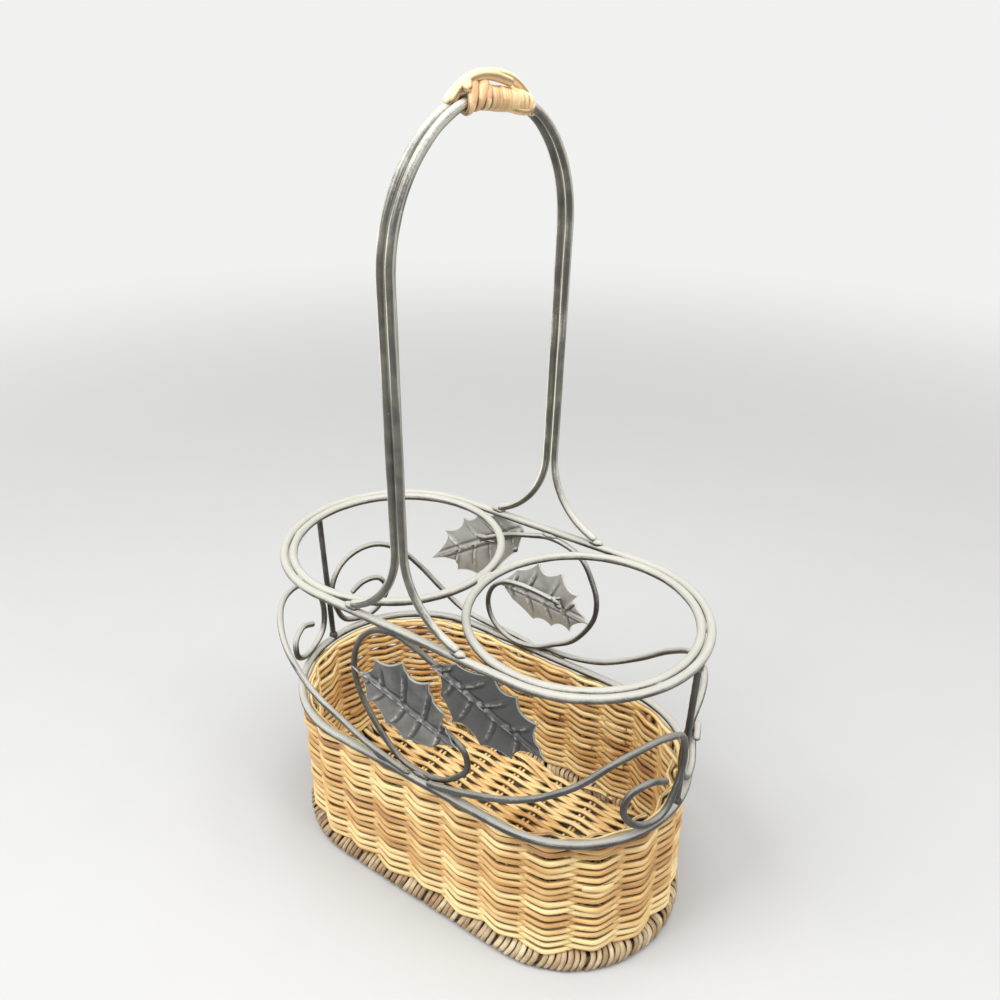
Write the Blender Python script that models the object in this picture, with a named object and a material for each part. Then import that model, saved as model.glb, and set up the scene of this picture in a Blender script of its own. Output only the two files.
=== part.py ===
"""Wine bottle basket for two bottles.

A welded wire frame stands on the rim of a woven oval basket. The lower rail lies on the rim, two end
posts and four scrolls rise from it, and the upper rail holds two bottle rings. Two rods side by side
make the tall carrying arch. Leaf wires on both long sides carry four sheet metal holly leaves, and
rattan is wound round the top of the arch.

Metres, +Z up. The origin is the middle of the footprint, on the surface the basket stands on. +X runs
along the basket and -Y is the front. Lengths marked share are parts of the size they follow.
"""
import math

import bmesh
import bpy
import numpy as np

# Wire gauges and the clearance left between pieces that touch
WIRE = 0.0039
SCROLL_WIRE = 0.0030
LEAF_WIRE = 0.0027
LEAF_THICKNESS = 0.0008
STRAND = 0.0030
RIM_STRAND = 0.0026
GAP = 0.0003

# Bottle rings and upper rail
RING_RADIUS = 0.0495
UPPER_RAIL_HEIGHT = 0.157

# Woven basket: the lower rail follows the outer edge of its rim
BASKET_REACH = 0.048
BASKET_HALF_WIDTH = 0.055
LOWER_RAIL_HEIGHT = 0.0797
FLOOR_THICKNESS = 0.0045
BORDER_SIZE = 0.009
BORDER_ROUNDING = 0.003
BORDER_PROUD = 0.002

# The weave is thickest where it bends round a stake and thinnest half way between two stakes
WALL_INSET = 0.0023
WALL_STAKES = 26
FIRST_STAKE_RUN = 0.0039
WALL_THICKNESS = 0.0080
WALL_WAIST_THICKNESS = 0.0028
FLOOR_STAKE_PITCH = 0.0225
FLOOR_STAKE_PLACE = -0.005
FLOOR_WAIST_THICKNESS = 0.0028

# Carrying arch
HANDLE_TOP = 0.3592
HANDLE_HALF_WIDTH = 0.0565
ARCH_RISE = 0.0548
SPLIT_HEIGHT = 0.1975
FOOT_SPREAD = 0.0285
FOOT_SHIFT = -0.0022
HANDLE_LEAN = 0.0045

# Scrolls and leaf wires stand on either side of the line of the rails
SCROLL_OUTSET = 0.001
SCROLL_BULGE = 0.005
LEAF_WIRE_INSET = 0.0023

# Rattan winding on top of the arch
GRIP_LOOPS = 10
GRIP_PITCH = 0.0039
GRIP_OFFSET = 0.004
GRIP_ROUNDING = 0.6
OVER_STRAND_START = -0.0275
OVER_STRAND_END = 0.0275
TAIL_STRAND_END = 0.010
STRAND_FALL_SHARE = 1.7

# Points along the wires and over the weave
ARC_STEPS = 20
POINTS_PER_SPAN = 2
STEPS_PER_STAKE = 4
FOOT_STEPS = 8
STRAND_POINTS = 24
LOOP_POINTS = 24

# Scrolls: share of the way from mid side to the end post, share of the way up from the lower rail to
# the upper one, and share of the bulge outwards
SCROLL_SHARES = {
    "scroll_front_right": [
        (0.11, 0.0, 0.0), (0.27, 0.08, 0.0), (0.45, 0.24, 0.0), (0.60, 0.42, 0.0), (0.74, 0.61, 0.0),
        (0.88, 0.67, 0.05), (0.965, 0.60, 0.1), (1.0, 0.42, 0.1), (0.985, 0.18, 0.05), (0.93, 0.02, 0.0),
        (0.86, 0.01, 0.0), (0.79, 0.09, 0.0), (0.762, 0.22, 0.0), (0.785, 0.325, 0.0),
        (0.85, 0.355, 0.0), (0.925, 0.29, 0.0)],
    "scroll_front_left": [
        (0.075, 0.0, 0.0), (0.20, 0.05, 0.0), (0.33, 0.14, 0.0), (0.466, 0.27, 0.3), (0.58, 0.45, 0.9),
        (0.69, 0.55, 1.0), (0.81, 0.58, 0.9), (0.91, 0.55, 0.4), (0.98, 0.42, 0.1), (1.0, 0.25, 0.0),
        (0.975, 0.06, 0.0), (0.91, 0.0, 0.0), (0.835, 0.01, 0.1), (0.786, 0.08, 0.35),
        (0.79, 0.19, 0.4), (0.845, 0.245, 0.2), (0.925, 0.19, 0.0)],
    "scroll_back_left": [
        (0.18, 0.0, 0.0), (0.30, 0.005, 0.0), (0.42, 0.045, 0.0), (0.52, 0.20, 0.0), (0.61, 0.395, 0.0),
        (0.69, 0.545, 0.0), (0.78, 0.62, 0.0), (0.865, 0.605, 0.0), (0.95, 0.52, 0.0), (1.0, 0.37, 0.0),
        (0.99, 0.19, 0.0), (0.95, 0.04, 0.0), (0.89, 0.0, 0.0), (0.825, 0.015, 0.0),
        (0.775, 0.11, 0.0), (0.755, 0.22, 0.0), (0.785, 0.315, 0.0), (0.85, 0.315, 0.0),
        (0.91, 0.25, 0.0)],
    "scroll_back_right": [
        (0.0, 0.0, 0.0), (0.10, 0.01, 0.0), (0.236, 0.075, 0.0), (0.39, 0.24, 0.0), (0.553, 0.49, 0.0),
        (0.647, 0.61, 0.0), (0.75, 0.67, 0.0), (0.84, 0.665, 0.0), (0.93, 0.59, 0.0), (0.99, 0.44, 0.0),
        (1.0, 0.27, 0.0), (0.975, 0.10, 0.0), (0.92, 0.01, 0.0), (0.85, 0.01, 0.0), (0.797, 0.09, 0.0),
        (0.79, 0.21, 0.0), (0.83, 0.295, 0.0), (0.89, 0.265, 0.0)],
}

# Leaf wires: share of the distance from mid side to a ring's centre, and share of the height that
# the wire has between the rails
LEAF_WIRE_SHARES = {
    "leaf_wire_front": [
        (-0.12, 0.545), (0.13, 0.495), (0.40, 0.43), (0.54, 0.36), (0.57, 0.24), (0.46, 0.13),
        (0.28, 0.03), (0.07, 0.0), (-0.14, 0.02), (-0.33, 0.125), (-0.48, 0.26), (-0.60, 0.41),
        (-0.65, 0.56), (-0.62, 0.73), (-0.52, 0.87), (-0.36, 0.965), (-0.15, 1.0), (0.05, 0.97),
        (0.25, 0.915), (0.50, 0.88), (0.76, 0.81)],
    "leaf_wire_back": [
        (0.08, 0.50), (-0.12, 0.515), (-0.33, 0.52), (-0.52, 0.49), (-0.66, 0.40), (-0.715, 0.27),
        (-0.66, 0.12), (-0.50, 0.025), (-0.30, 0.0), (-0.10, 0.03), (0.10, 0.11), (0.30, 0.20),
        (0.46, 0.34), (0.56, 0.50), (0.565, 0.64), (0.50, 0.78), (0.38, 0.92), (0.22, 0.98),
        (0.02, 1.0), (-0.20, 0.965), (-0.45, 0.91), (-0.81, 0.785)],
}

# Holly leaves: base and tip as shares of the same distance and of the height between the rails,
# then the widths above and below the midrib as shares of the leaf's length
LEAF_SHARES = {
    "holly_leaf_front_1": ((0.43, 0.448), (-0.618, 0.665), 0.35, 0.40),
    "holly_leaf_front_2": ((0.35, 0.905), (1.335, 0.625), 0.25, 0.32),
    "holly_leaf_back_1": ((-0.55, 0.462), (0.49, 0.405), 0.36, 0.265),
    "holly_leaf_back_2": ((-0.37, 0.925), (-1.45, 0.442), 0.26, 0.24),
}

# Half of a holly leaf: share of its length from the base, and share of its width
HOLLY_SHARES = [
    (0.0, 0.06), (0.06, 0.26), (0.11, 0.54), (0.21, 0.62), (0.33, 0.97), (0.43, 0.74), (0.57, 0.92),
    (0.67, 0.60), (0.80, 0.61), (0.87, 0.28)]

# Sizes that follow from the ones above
UPPER_REACH = RING_RADIUS + WIRE / 2 + GAP / 2
UPPER_HALF_WIDTH = RING_RADIUS + WIRE + GAP
SEAT = WIRE / 2 + GAP
LEG_OFFSET = (WIRE + GAP) / 2
HANDLE_SHOULDER = HANDLE_TOP - ARCH_RISE
ARCH_RADIUS = (HANDLE_HALF_WIDTH + ARCH_RISE) / 2
WALL_BOTTOM = BORDER_SIZE + GAP
WALL_TOP = LOWER_RAIL_HEIGHT - SEAT
WINDING_HALF_HEIGHT = SEAT + (STRAND + GAP) / 2
WINDING_HALF_WIDTH = LEG_OFFSET + WINDING_HALF_HEIGHT

IRON = ("blackened_iron", (0.045, 0.044, 0.043), 0.55, 0.6)
LEAF_METAL = ("charcoal_sheet_metal", (0.075, 0.076, 0.078), 0.5, 0.6)
WICKER = ("golden_wicker", (0.60, 0.39, 0.18), 0.75, 0.0)
BORDER_REED = ("weathered_reed", (0.25, 0.17, 0.11), 0.8, 0.0)
RATTAN = ("tan_rattan", (0.62, 0.42, 0.24), 0.6, 0.0)


def clear_scene():
    """Removes every object, so the parts collection holds the model alone."""
    for item in list(bpy.data.objects):
        bpy.data.objects.remove(item, do_unlink=True)


def material(finish):
    """The named finish, made once."""
    name, colour, roughness, metallic = finish
    if name in bpy.data.materials:
        return bpy.data.materials[name]
    result = bpy.data.materials.new(name)
    result.use_nodes = True
    shader = result.node_tree.nodes["Principled BSDF"]
    shader.inputs["Base Color"].default_value = (*colour, 1.0)
    shader.inputs["Roughness"].default_value = roughness
    shader.inputs["Metallic"].default_value = metallic
    return result


def add_object(collection, name, data, finish):
    """Links data as a named object with its finish."""
    item = bpy.data.objects.new(name, data)
    data.materials.append(material(finish))
    collection.objects.link(item)
    return item


def wire(collection, name, points, diameter, finish, closed=False, resolution=2):
    """A round wire along points: a poly curve with a bevel and filled caps."""
    curve = bpy.data.curves.new(name, "CURVE")
    curve.dimensions = "3D"
    curve.bevel_depth = diameter / 2
    curve.bevel_resolution = resolution
    curve.use_fill_caps = not closed
    spline = curve.splines.new("POLY")
    spline.points.add(len(points) - 1)
    for target, point in zip(spline.points, points):
        target.co = (*point, 1.0)
    spline.use_cyclic_u = closed
    return add_object(collection, name, curve, finish)


def plate(collection, name, outlines, height, finish, rounding=0.0):
    """A flat outline, with any holes, given its thickness; its edges may be rounded."""
    curve = bpy.data.curves.new(name, "CURVE")
    curve.dimensions = "2D"
    curve.fill_mode = "BOTH"
    curve.extrude = height / 2 - rounding
    curve.bevel_depth = rounding
    curve.bevel_resolution = 2
    for outline in outlines:
        spline = curve.splines.new("POLY")
        spline.points.add(len(outline) - 1)
        for target, (x, y) in zip(spline.points, outline):
            target.co = (x, y, 0.0, 1.0)
        spline.use_cyclic_u = True
    return add_object(collection, name, curve, finish)


def stadium(reach, half_width, clockwise=False):
    """Points of a loop of two straights, each twice the reach long, joined by half circles."""
    turn = np.linspace(-math.pi / 2, math.pi / 2, ARC_STEPS + 1)
    right = np.c_[reach + half_width * np.cos(turn), half_width * np.sin(turn)]
    loop = np.r_[right, -right]
    return loop[::-1] if clockwise else loop


def on_stadium(run, reach, half_width):
    """Points of such a loop at runs along it from the middle of its front, and the ways out of it."""
    half = 2 * reach + math.pi * half_width
    run = (run + reach) % (2 * half)
    side = np.where(run < half, 1.0, -1.0)[:, None]
    run = run % half
    turn = np.clip((run - 2 * reach) / half_width, 0.0, math.pi)
    outward = side * np.c_[np.sin(turn), -np.cos(turn)]
    straight = side * np.c_[np.minimum(run, 2 * reach) - reach, np.zeros(len(run))]
    return straight + half_width * outward, outward


def woven_stadium(reach, half_width, waist_offset, stake_offset, clockwise=False):
    """A loop beside the middle line of a woven wall, stake_offset out of it at the stakes and
    waist_offset half way between them."""
    length = 4 * reach + 2 * math.pi * half_width
    number = np.arange(WALL_STAKES * STEPS_PER_STAKE) / STEPS_PER_STAKE
    place, outward = on_stadium(FIRST_STAKE_RUN + number * length / WALL_STAKES, reach, half_width)
    share = (1 + np.cos(2 * math.pi * number)) / 2
    loop = place + outward * blend(waist_offset, stake_offset, share)[:, None]
    return loop[::-1] if clockwise else loop


def woven_floor(collection, name, reach, half_width, top, finish):
    """A plate with rounded ends, level below, whose upper side rises to the top over each stake."""
    arc = stadium(reach, half_width)[ARC_STEPS // 2:ARC_STEPS + 1, 0]
    steps = FLOOR_STAKE_PITCH / STEPS_PER_STAKE
    first = math.ceil((-reach - FLOOR_STAKE_PLACE) / steps)
    last = math.floor((reach - FLOOR_STAKE_PLACE) / steps)
    inner = FLOOR_STAKE_PLACE + steps * np.arange(first, last + 1)
    places = np.unique(np.r_[-arc, inner, arc].round(6))
    beyond = np.clip(np.abs(places) - reach, 0.0, half_width)
    edge = np.sqrt(half_width**2 - beyond**2)
    share = (1 + np.cos(2 * math.pi * (places - FLOOR_STAKE_PLACE) / FLOOR_STAKE_PITCH)) / 2
    rise = blend(FLOOR_WAIST_THICKNESS, FLOOR_THICKNESS, share) - FLOOR_THICKNESS

    sheet = bmesh.new()
    bmesh.ops.create_grid(sheet, x_segments=len(places) - 1, y_segments=1, size=1.0)
    for corner in sheet.verts:
        number = round((corner.co.x + 1) / 2 * (len(places) - 1))
        corner.co = (places[number], corner.co.y * edge[number], top + rise[number])
    made = bmesh.ops.extrude_face_region(sheet, geom=sheet.faces[:], use_keep_orig=True)
    for item in made["geom"]:
        if isinstance(item, bmesh.types.BMVert):
            item.co.z = top - FLOOR_THICKNESS
    bmesh.ops.remove_doubles(sheet, verts=sheet.verts[:], dist=GAP / 10)
    bmesh.ops.recalc_face_normals(sheet, faces=sheet.faces[:])
    data = bpy.data.meshes.new(name)
    sheet.to_mesh(data)
    sheet.free()
    return add_object(collection, name, data, finish)


def at_height(loop, height):
    """A flat loop lifted to a height."""
    return np.c_[loop, np.full(len(loop), height)]


def smooth(points):
    """Points on a cubic curve through the given points, closest together where those are, with the
    tangent at each of them taken from its neighbours."""
    knots = np.array(points, dtype=float)
    steps = np.linalg.norm(np.diff(knots, axis=0), axis=1)
    place = np.r_[0.0, np.cumsum(steps)]
    tangent = np.gradient(knots, place, axis=0)
    numbers = np.linspace(0, len(knots) - 1, POINTS_PER_SPAN * (len(knots) - 1) + 1)
    where = np.interp(numbers, np.arange(len(knots)), place)
    index = np.clip(np.searchsorted(place, where, side="right") - 1, 0, len(knots) - 2)
    span = (place[index + 1] - place[index])[:, None]
    share = (where - place[index])[:, None] / span
    back = 1 - share
    start = (1 + 2 * share) * back**2 * knots[index] + share * back**2 * span * tangent[index]
    end = share**2 * (3 - 2 * share) * knots[index + 1] - share**2 * back * span * tangent[index + 1]
    return start + end


def blend(low, high, share):
    """The value a share of the way from low to high."""
    return low + (high - low) * share


def scroll_points(shares, side_x, side_y):
    """A scroll on the upright band between the rails, read from its shares."""
    post_clearance = (WIRE + SCROLL_WIRE) / 2 + GAP
    foot = LOWER_RAIL_HEIGHT + post_clearance
    head = UPPER_RAIL_HEIGHT - post_clearance
    rail_gap = UPPER_RAIL_HEIGHT - LOWER_RAIL_HEIGHT
    flat = []
    for along, up, out in shares:
        height = blend(foot, head, up)
        rise = (height - LOWER_RAIL_HEIGHT) / rail_gap
        reach = blend(BASKET_REACH, UPPER_REACH, rise)
        half_width = blend(BASKET_HALF_WIDTH, UPPER_HALF_WIDTH, rise) + SCROLL_OUTSET
        run = reach + half_width * math.pi / 2 - post_clearance
        flat.append((along * run, height, out * SCROLL_BULGE))
    points = []
    for run, height, out in smooth(flat):
        rise = (height - LOWER_RAIL_HEIGHT) / rail_gap
        reach = blend(BASKET_REACH, UPPER_REACH, rise)
        half_width = blend(BASKET_HALF_WIDTH, UPPER_HALF_WIDTH, rise) + SCROLL_OUTSET
        turn = max(run - reach, 0.0) / half_width
        x = min(run, reach) + (half_width + out) * math.sin(turn)
        y = -(half_width + out) * math.cos(turn)
        points.append((side_x * x, -side_y * y, height))
    return points


def leaf_wire_points(shares, side_y):
    """A leaf wire in the upright plane just inside the rails."""
    contact = (WIRE + LEAF_WIRE) / 2 + GAP
    line = BASKET_HALF_WIDTH - LEAF_WIRE_INSET
    foot = LOWER_RAIL_HEIGHT + math.sqrt(contact**2 - LEAF_WIRE_INSET**2)
    head = UPPER_RAIL_HEIGHT - math.sqrt(contact**2 - (UPPER_HALF_WIDTH - line) ** 2)
    flat = [(x * UPPER_REACH, side_y * line, blend(foot, head, z)) for x, z in shares]
    return smooth(flat)


def leaf(collection, name, shares, side_y):
    """A holly leaf of sheet metal, flat against the outer side of its leaf wire."""
    (base_x, base_z), (tip_x, tip_z), above, below = shares
    low = LOWER_RAIL_HEIGHT + WIRE / 2
    high = UPPER_RAIL_HEIGHT - SEAT
    base = np.array((base_x * UPPER_REACH, blend(low, high, base_z)))
    tip = np.array((tip_x * UPPER_REACH, blend(low, high, tip_z)))
    rib = tip - base
    across = np.array((-rib[1], rib[0]))
    if across[1] < 0:
        across = -across
    upper = [base + rib * along + across * above * width for along, width in HOLLY_SHARES]
    lower = [base + rib * along - across * below * width for along, width in HOLLY_SHARES]
    outline = upper + [tip] + lower[::-1]
    item = plate(collection, name, [outline], LEAF_THICKNESS, LEAF_METAL)
    line = BASKET_HALF_WIDTH - LEAF_WIRE_INSET + LEAF_WIRE / 2 + GAP + LEAF_THICKNESS / 2
    item.location = (0.0, side_y * line, 0.0)
    item.rotation_euler = (math.pi / 2, 0.0, 0.0)
    return item


def handle_middle(height):
    """Where the two rods meet at a height: the arch leans a little along the basket."""
    share = (height - UPPER_RAIL_HEIGHT) / (HANDLE_TOP - UPPER_RAIL_HEIGHT)
    return FOOT_SHIFT + HANDLE_LEAN * share


def handle_points(side_x):
    """One rod, from its front foot over the arch to its back foot."""
    landing = UPPER_RAIL_HEIGHT + WIRE + GAP
    drop = SPLIT_HEIGHT - landing
    turn = np.linspace(0.0, math.pi / 2, ARC_STEPS // 2 + 1)
    foot = []
    for t in np.linspace(0.0, 1.0, FOOT_STEPS + 1):
        spread = FOOT_SPREAD * (0.5 * (1 - t) ** 2 * t * 3 + (1 - t) ** 3) + LEG_OFFSET * (3 - 2 * t) * t**2
        height = landing + drop * (t**3 + 3 * t**2 * (1 - t) * 0.5 + 3 * t * (1 - t) ** 2 * 0.13)
        foot.append((spread, blend(UPPER_HALF_WIDTH, HANDLE_HALF_WIDTH, 0.3 * t), height))
    arch = [(LEG_OFFSET, HANDLE_HALF_WIDTH * math.cos(a), HANDLE_SHOULDER + ARCH_RISE * math.sin(a)) for a in turn]
    half = foot + arch
    front = [(side_x * x, -y, z) for x, y, z in half]
    back = [(side_x * x, y, z) for x, y, z in half[-2::-1]]
    return [(x + handle_middle(z), y, z) for x, y, z in front + back]


def arch_frame(distance):
    """The place on the arch at a distance from its top, and the direction out of the arch there."""
    angle = distance / ARCH_RADIUS
    place = (HANDLE_HALF_WIDTH * math.sin(angle), HANDLE_SHOULDER + ARCH_RISE * math.cos(angle))
    return place, (math.sin(angle), math.cos(angle))


def on_arch(distance, sideways, outwards):
    """A point near the arch: distance along it from its top, sideways along the basket, outwards."""
    (y, z), (out_y, out_z) = arch_frame(distance)
    return (handle_middle(z) + sideways, y + outwards * out_y, z + outwards * out_z)


def winding_points():
    """The rattan winding: a helix of rounded oblong loops round both rods, with straight ends."""
    count = GRIP_LOOPS * LOOP_POINTS
    start = GRIP_OFFSET - GRIP_LOOPS * GRIP_PITCH / 2
    points = []
    for step in range(count + 1):
        angle = 2 * math.pi * step / LOOP_POINTS
        sideways = WINDING_HALF_WIDTH * np.sign(math.cos(angle)) * abs(math.cos(angle)) ** GRIP_ROUNDING
        outwards = WINDING_HALF_HEIGHT * np.sign(math.sin(angle)) * abs(math.sin(angle)) ** GRIP_ROUNDING
        points.append(on_arch(start + GRIP_PITCH * step / LOOP_POINTS, sideways, outwards))
    return points


def least_gap(points, diameter, skip):
    """The least clear distance between turns of a tube: points nearer than skip along it are left out."""
    line = np.array(points)
    apart = np.linalg.norm(line[:, None, :] - line[None, :, :], axis=2)
    number = np.arange(len(line))
    near = np.abs(number[:, None] - number[None, :]) < skip
    return float(np.where(near, np.inf, apart).min()) - diameter


def over_strand_points(sideways, start, end):
    """A strand laid over the winding, which comes down to the rods past the winding's ends."""
    resting = SEAT + STRAND / 2
    raised = WINDING_HALF_HEIGHT + STRAND + GAP
    edge = GRIP_LOOPS * GRIP_PITCH / 2
    points = []
    for distance in np.linspace(start, end, STRAND_POINTS):
        past = min(max((abs(distance) - edge) / (STRAND_FALL_SHARE * STRAND), 0.0), 1.0)
        fall = past * past * (3 - 2 * past)
        points.append(on_arch(GRIP_OFFSET + distance, sideways, blend(raised, resting, fall)))
    return points


def build():
    """Makes every piece of the basket."""
    clear_scene()
    parts = bpy.data.collections.new("wine_bottle_basket")
    bpy.context.scene.collection.children.link(parts)

    upper = stadium(UPPER_REACH, UPPER_HALF_WIDTH)
    lower = stadium(BASKET_REACH, BASKET_HALF_WIDTH)
    wire(parts, "upper_rail", at_height(upper, UPPER_RAIL_HEIGHT), WIRE, IRON, closed=True)
    wire(parts, "lower_rail", at_height(lower, LOWER_RAIL_HEIGHT), WIRE, IRON, closed=True)
    turn = np.linspace(0.0, 2 * math.pi, 2 * ARC_STEPS, endpoint=False)
    ring = np.c_[RING_RADIUS * np.cos(turn), RING_RADIUS * np.sin(turn)]
    for side, label in ((-1, "left"), (1, "right")):
        place = ring + (side * UPPER_REACH, 0.0)
        wire(parts, "bottle_ring_" + label, at_height(place, UPPER_RAIL_HEIGHT), WIRE, IRON, closed=True)
        foot = (side * (BASKET_REACH + BASKET_HALF_WIDTH), 0.0, LOWER_RAIL_HEIGHT + SEAT)
        head = (side * (UPPER_REACH + UPPER_HALF_WIDTH), 0.0, UPPER_RAIL_HEIGHT - SEAT)
        wire(parts, "end_post_" + label, [foot, head], WIRE, IRON)
        wire(parts, "handle_rod_" + label, handle_points(side), WIRE, IRON)
    for name, shares in SCROLL_SHARES.items():
        side_x = 1 if name.endswith("right") else -1
        side_y = -1 if "front" in name else 1
        wire(parts, name, scroll_points(shares, side_x, side_y), SCROLL_WIRE, IRON)
    for name, shares in LEAF_WIRE_SHARES.items():
        side_y = -1 if name.endswith("front") else 1
        wire(parts, name, leaf_wire_points(shares, side_y), LEAF_WIRE, IRON)
    for name, shares in LEAF_SHARES.items():
        leaf(parts, name, shares, -1 if "front" in name else 1)

    border_outer = BASKET_HALF_WIDTH + BORDER_PROUD
    border_inner = border_outer - BORDER_SIZE
    wall_line = (BASKET_REACH, BASKET_HALF_WIDTH - WALL_INSET)
    wall = plate(parts, "wicker_wall", [
        woven_stadium(*wall_line, WALL_WAIST_THICKNESS / 2, WALL_THICKNESS / 2),
        woven_stadium(*wall_line, -WALL_WAIST_THICKNESS / 2, -WALL_THICKNESS / 2, clockwise=True)],
        WALL_TOP - WALL_BOTTOM, WICKER)
    wall.location.z = (WALL_TOP + WALL_BOTTOM) / 2
    border = plate(parts, "base_border", [
        stadium(BASKET_REACH, border_outer - BORDER_ROUNDING),
        stadium(BASKET_REACH, border_inner + BORDER_ROUNDING, clockwise=True)],
        BORDER_SIZE, BORDER_REED, rounding=BORDER_ROUNDING)
    border.location.z = BORDER_SIZE / 2
    woven_floor(parts, "wicker_floor", BASKET_REACH, border_inner - GAP, BORDER_SIZE, WICKER)
    rim = stadium(BASKET_REACH, BASKET_HALF_WIDTH - SEAT - RIM_STRAND / 2)
    rim_height = WALL_TOP + GAP + RIM_STRAND / 2
    wire(parts, "rim_strand", at_height(rim, rim_height), RIM_STRAND, WICKER, closed=True)

    winding = winding_points()
    wire(parts, "grip_winding", winding, STRAND, RATTAN, resolution=1)
    print("Least gap of the winding to itself, mm:",
          round(least_gap(winding, STRAND, LOOP_POINTS // 2) * 1000, 3))
    beside = (STRAND + GAP) / 2
    over = over_strand_points(-beside, OVER_STRAND_START, OVER_STRAND_END)
    tail = over_strand_points(beside, OVER_STRAND_START, TAIL_STRAND_END)
    wire(parts, "grip_over_strand", over, STRAND, RATTAN)
    wire(parts, "grip_tail_strand", tail, STRAND, RATTAN)


build()
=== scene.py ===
"""Wine bottle basket: an oval basket of woven willow, a welded wire frame for two bottles, four holly
leaves of sheet metal and a carrying arch wound with rattan.

Metres, +Z up, with the origin in the middle of the footprint. +X runs along the basket and -Y is the
front. Sizes are read from the solids, and most pieces made here stand where their solids stand. The
wall's stakes and right end, the top of the arch and the back right scroll are set a little apart from
them, and the rods and end posts are slimmer.
"""
import math

import bpy
import numpy as np
from bpy.props import FloatProperty, FloatVectorProperty, IntProperty, PointerProperty
from bpy.types import Operator, Panel, PropertyGroup
from mathutils import Matrix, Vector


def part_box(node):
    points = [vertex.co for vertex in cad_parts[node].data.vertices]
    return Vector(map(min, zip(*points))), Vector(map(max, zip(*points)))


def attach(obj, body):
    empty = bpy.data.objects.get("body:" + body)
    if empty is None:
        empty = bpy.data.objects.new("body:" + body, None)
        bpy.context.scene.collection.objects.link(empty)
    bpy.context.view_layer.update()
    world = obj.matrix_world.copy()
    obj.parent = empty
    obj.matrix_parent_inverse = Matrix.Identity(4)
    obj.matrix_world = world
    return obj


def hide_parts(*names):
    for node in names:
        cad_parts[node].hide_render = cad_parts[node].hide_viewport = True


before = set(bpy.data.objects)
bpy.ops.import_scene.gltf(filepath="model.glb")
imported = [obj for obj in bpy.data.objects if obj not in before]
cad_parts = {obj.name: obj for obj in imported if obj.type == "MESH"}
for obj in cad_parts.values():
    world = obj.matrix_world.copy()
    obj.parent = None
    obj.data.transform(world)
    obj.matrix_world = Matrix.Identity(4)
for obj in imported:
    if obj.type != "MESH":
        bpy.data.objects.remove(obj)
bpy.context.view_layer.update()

bl_info = {
    "name": "Wine bottle basket",
    "version": (1, 0, 0),
    "blender": (4, 5, 0),
    "location": "View3D > Sidebar > Basket",
    "description": "Builds a woven two-bottle basket with its wire frame, strand by strand",
    "category": "Object",
}

BODY = "root"
FULL_TURN = 2 * math.pi
UPWARDS = np.array((0.0, 0.0, 1.0))


def spans(node):
    """The size of a solid along X, Y and Z."""
    low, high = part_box(node)
    return np.array(high) - np.array(low)


def middle(node):
    """The middle of a solid's box."""
    low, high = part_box(node)
    return (np.array(high) + np.array(low)) / 2


# Sizes of the frame's wires and rails, read from their solids
WIRE = float(spans("upper_rail")[2])
SCROLL_WIRE = 0.0030
LEAF_WIRE = 0.0027
GAP = 0.0003
UPPER_RAIL_HEIGHT = float(middle("upper_rail")[2])
UPPER_HALF_WIDTH = float(spans("upper_rail")[1] - WIRE) / 2
UPPER_REACH = float(spans("upper_rail")[0] - spans("upper_rail")[1]) / 2
LOWER_RAIL_HEIGHT = float(middle("lower_rail")[2])
LOWER_HALF_WIDTH = float(spans("lower_rail")[1] - WIRE) / 2
LOWER_REACH = float(spans("lower_rail")[0] - spans("lower_rail")[1]) / 2
RING_RADIUS = float(spans("bottle_ring_left")[1] - WIRE) / 2
SEAT = WIRE / 2 + GAP

# Carrying arch
HANDLE_TOP = float(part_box("handle_rod_left")[1][2]) - WIRE / 2
HANDLE_HALF_WIDTH = float(spans("handle_rod_left")[1] - WIRE) / 2
ARCH_RISE = 0.0548
SPLIT_HEIGHT = 0.1975
FOOT_SPREAD = 0.0285
FOOT_SHIFT = -0.0022
HANDLE_LEAN = 0.0045
LEG_OFFSET = (WIRE + GAP) / 2
HANDLE_SHOULDER = HANDLE_TOP - ARCH_RISE
ARCH_RADIUS = (HANDLE_HALF_WIDTH + ARCH_RISE) / 2

# Scrolls and leaf wires
SCROLL_OUTSET = 0.001
SCROLL_BULGE = 0.005
LEAF_WIRE_INSET = 0.0023
LEAF_THICKNESS = 0.0008

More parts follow.
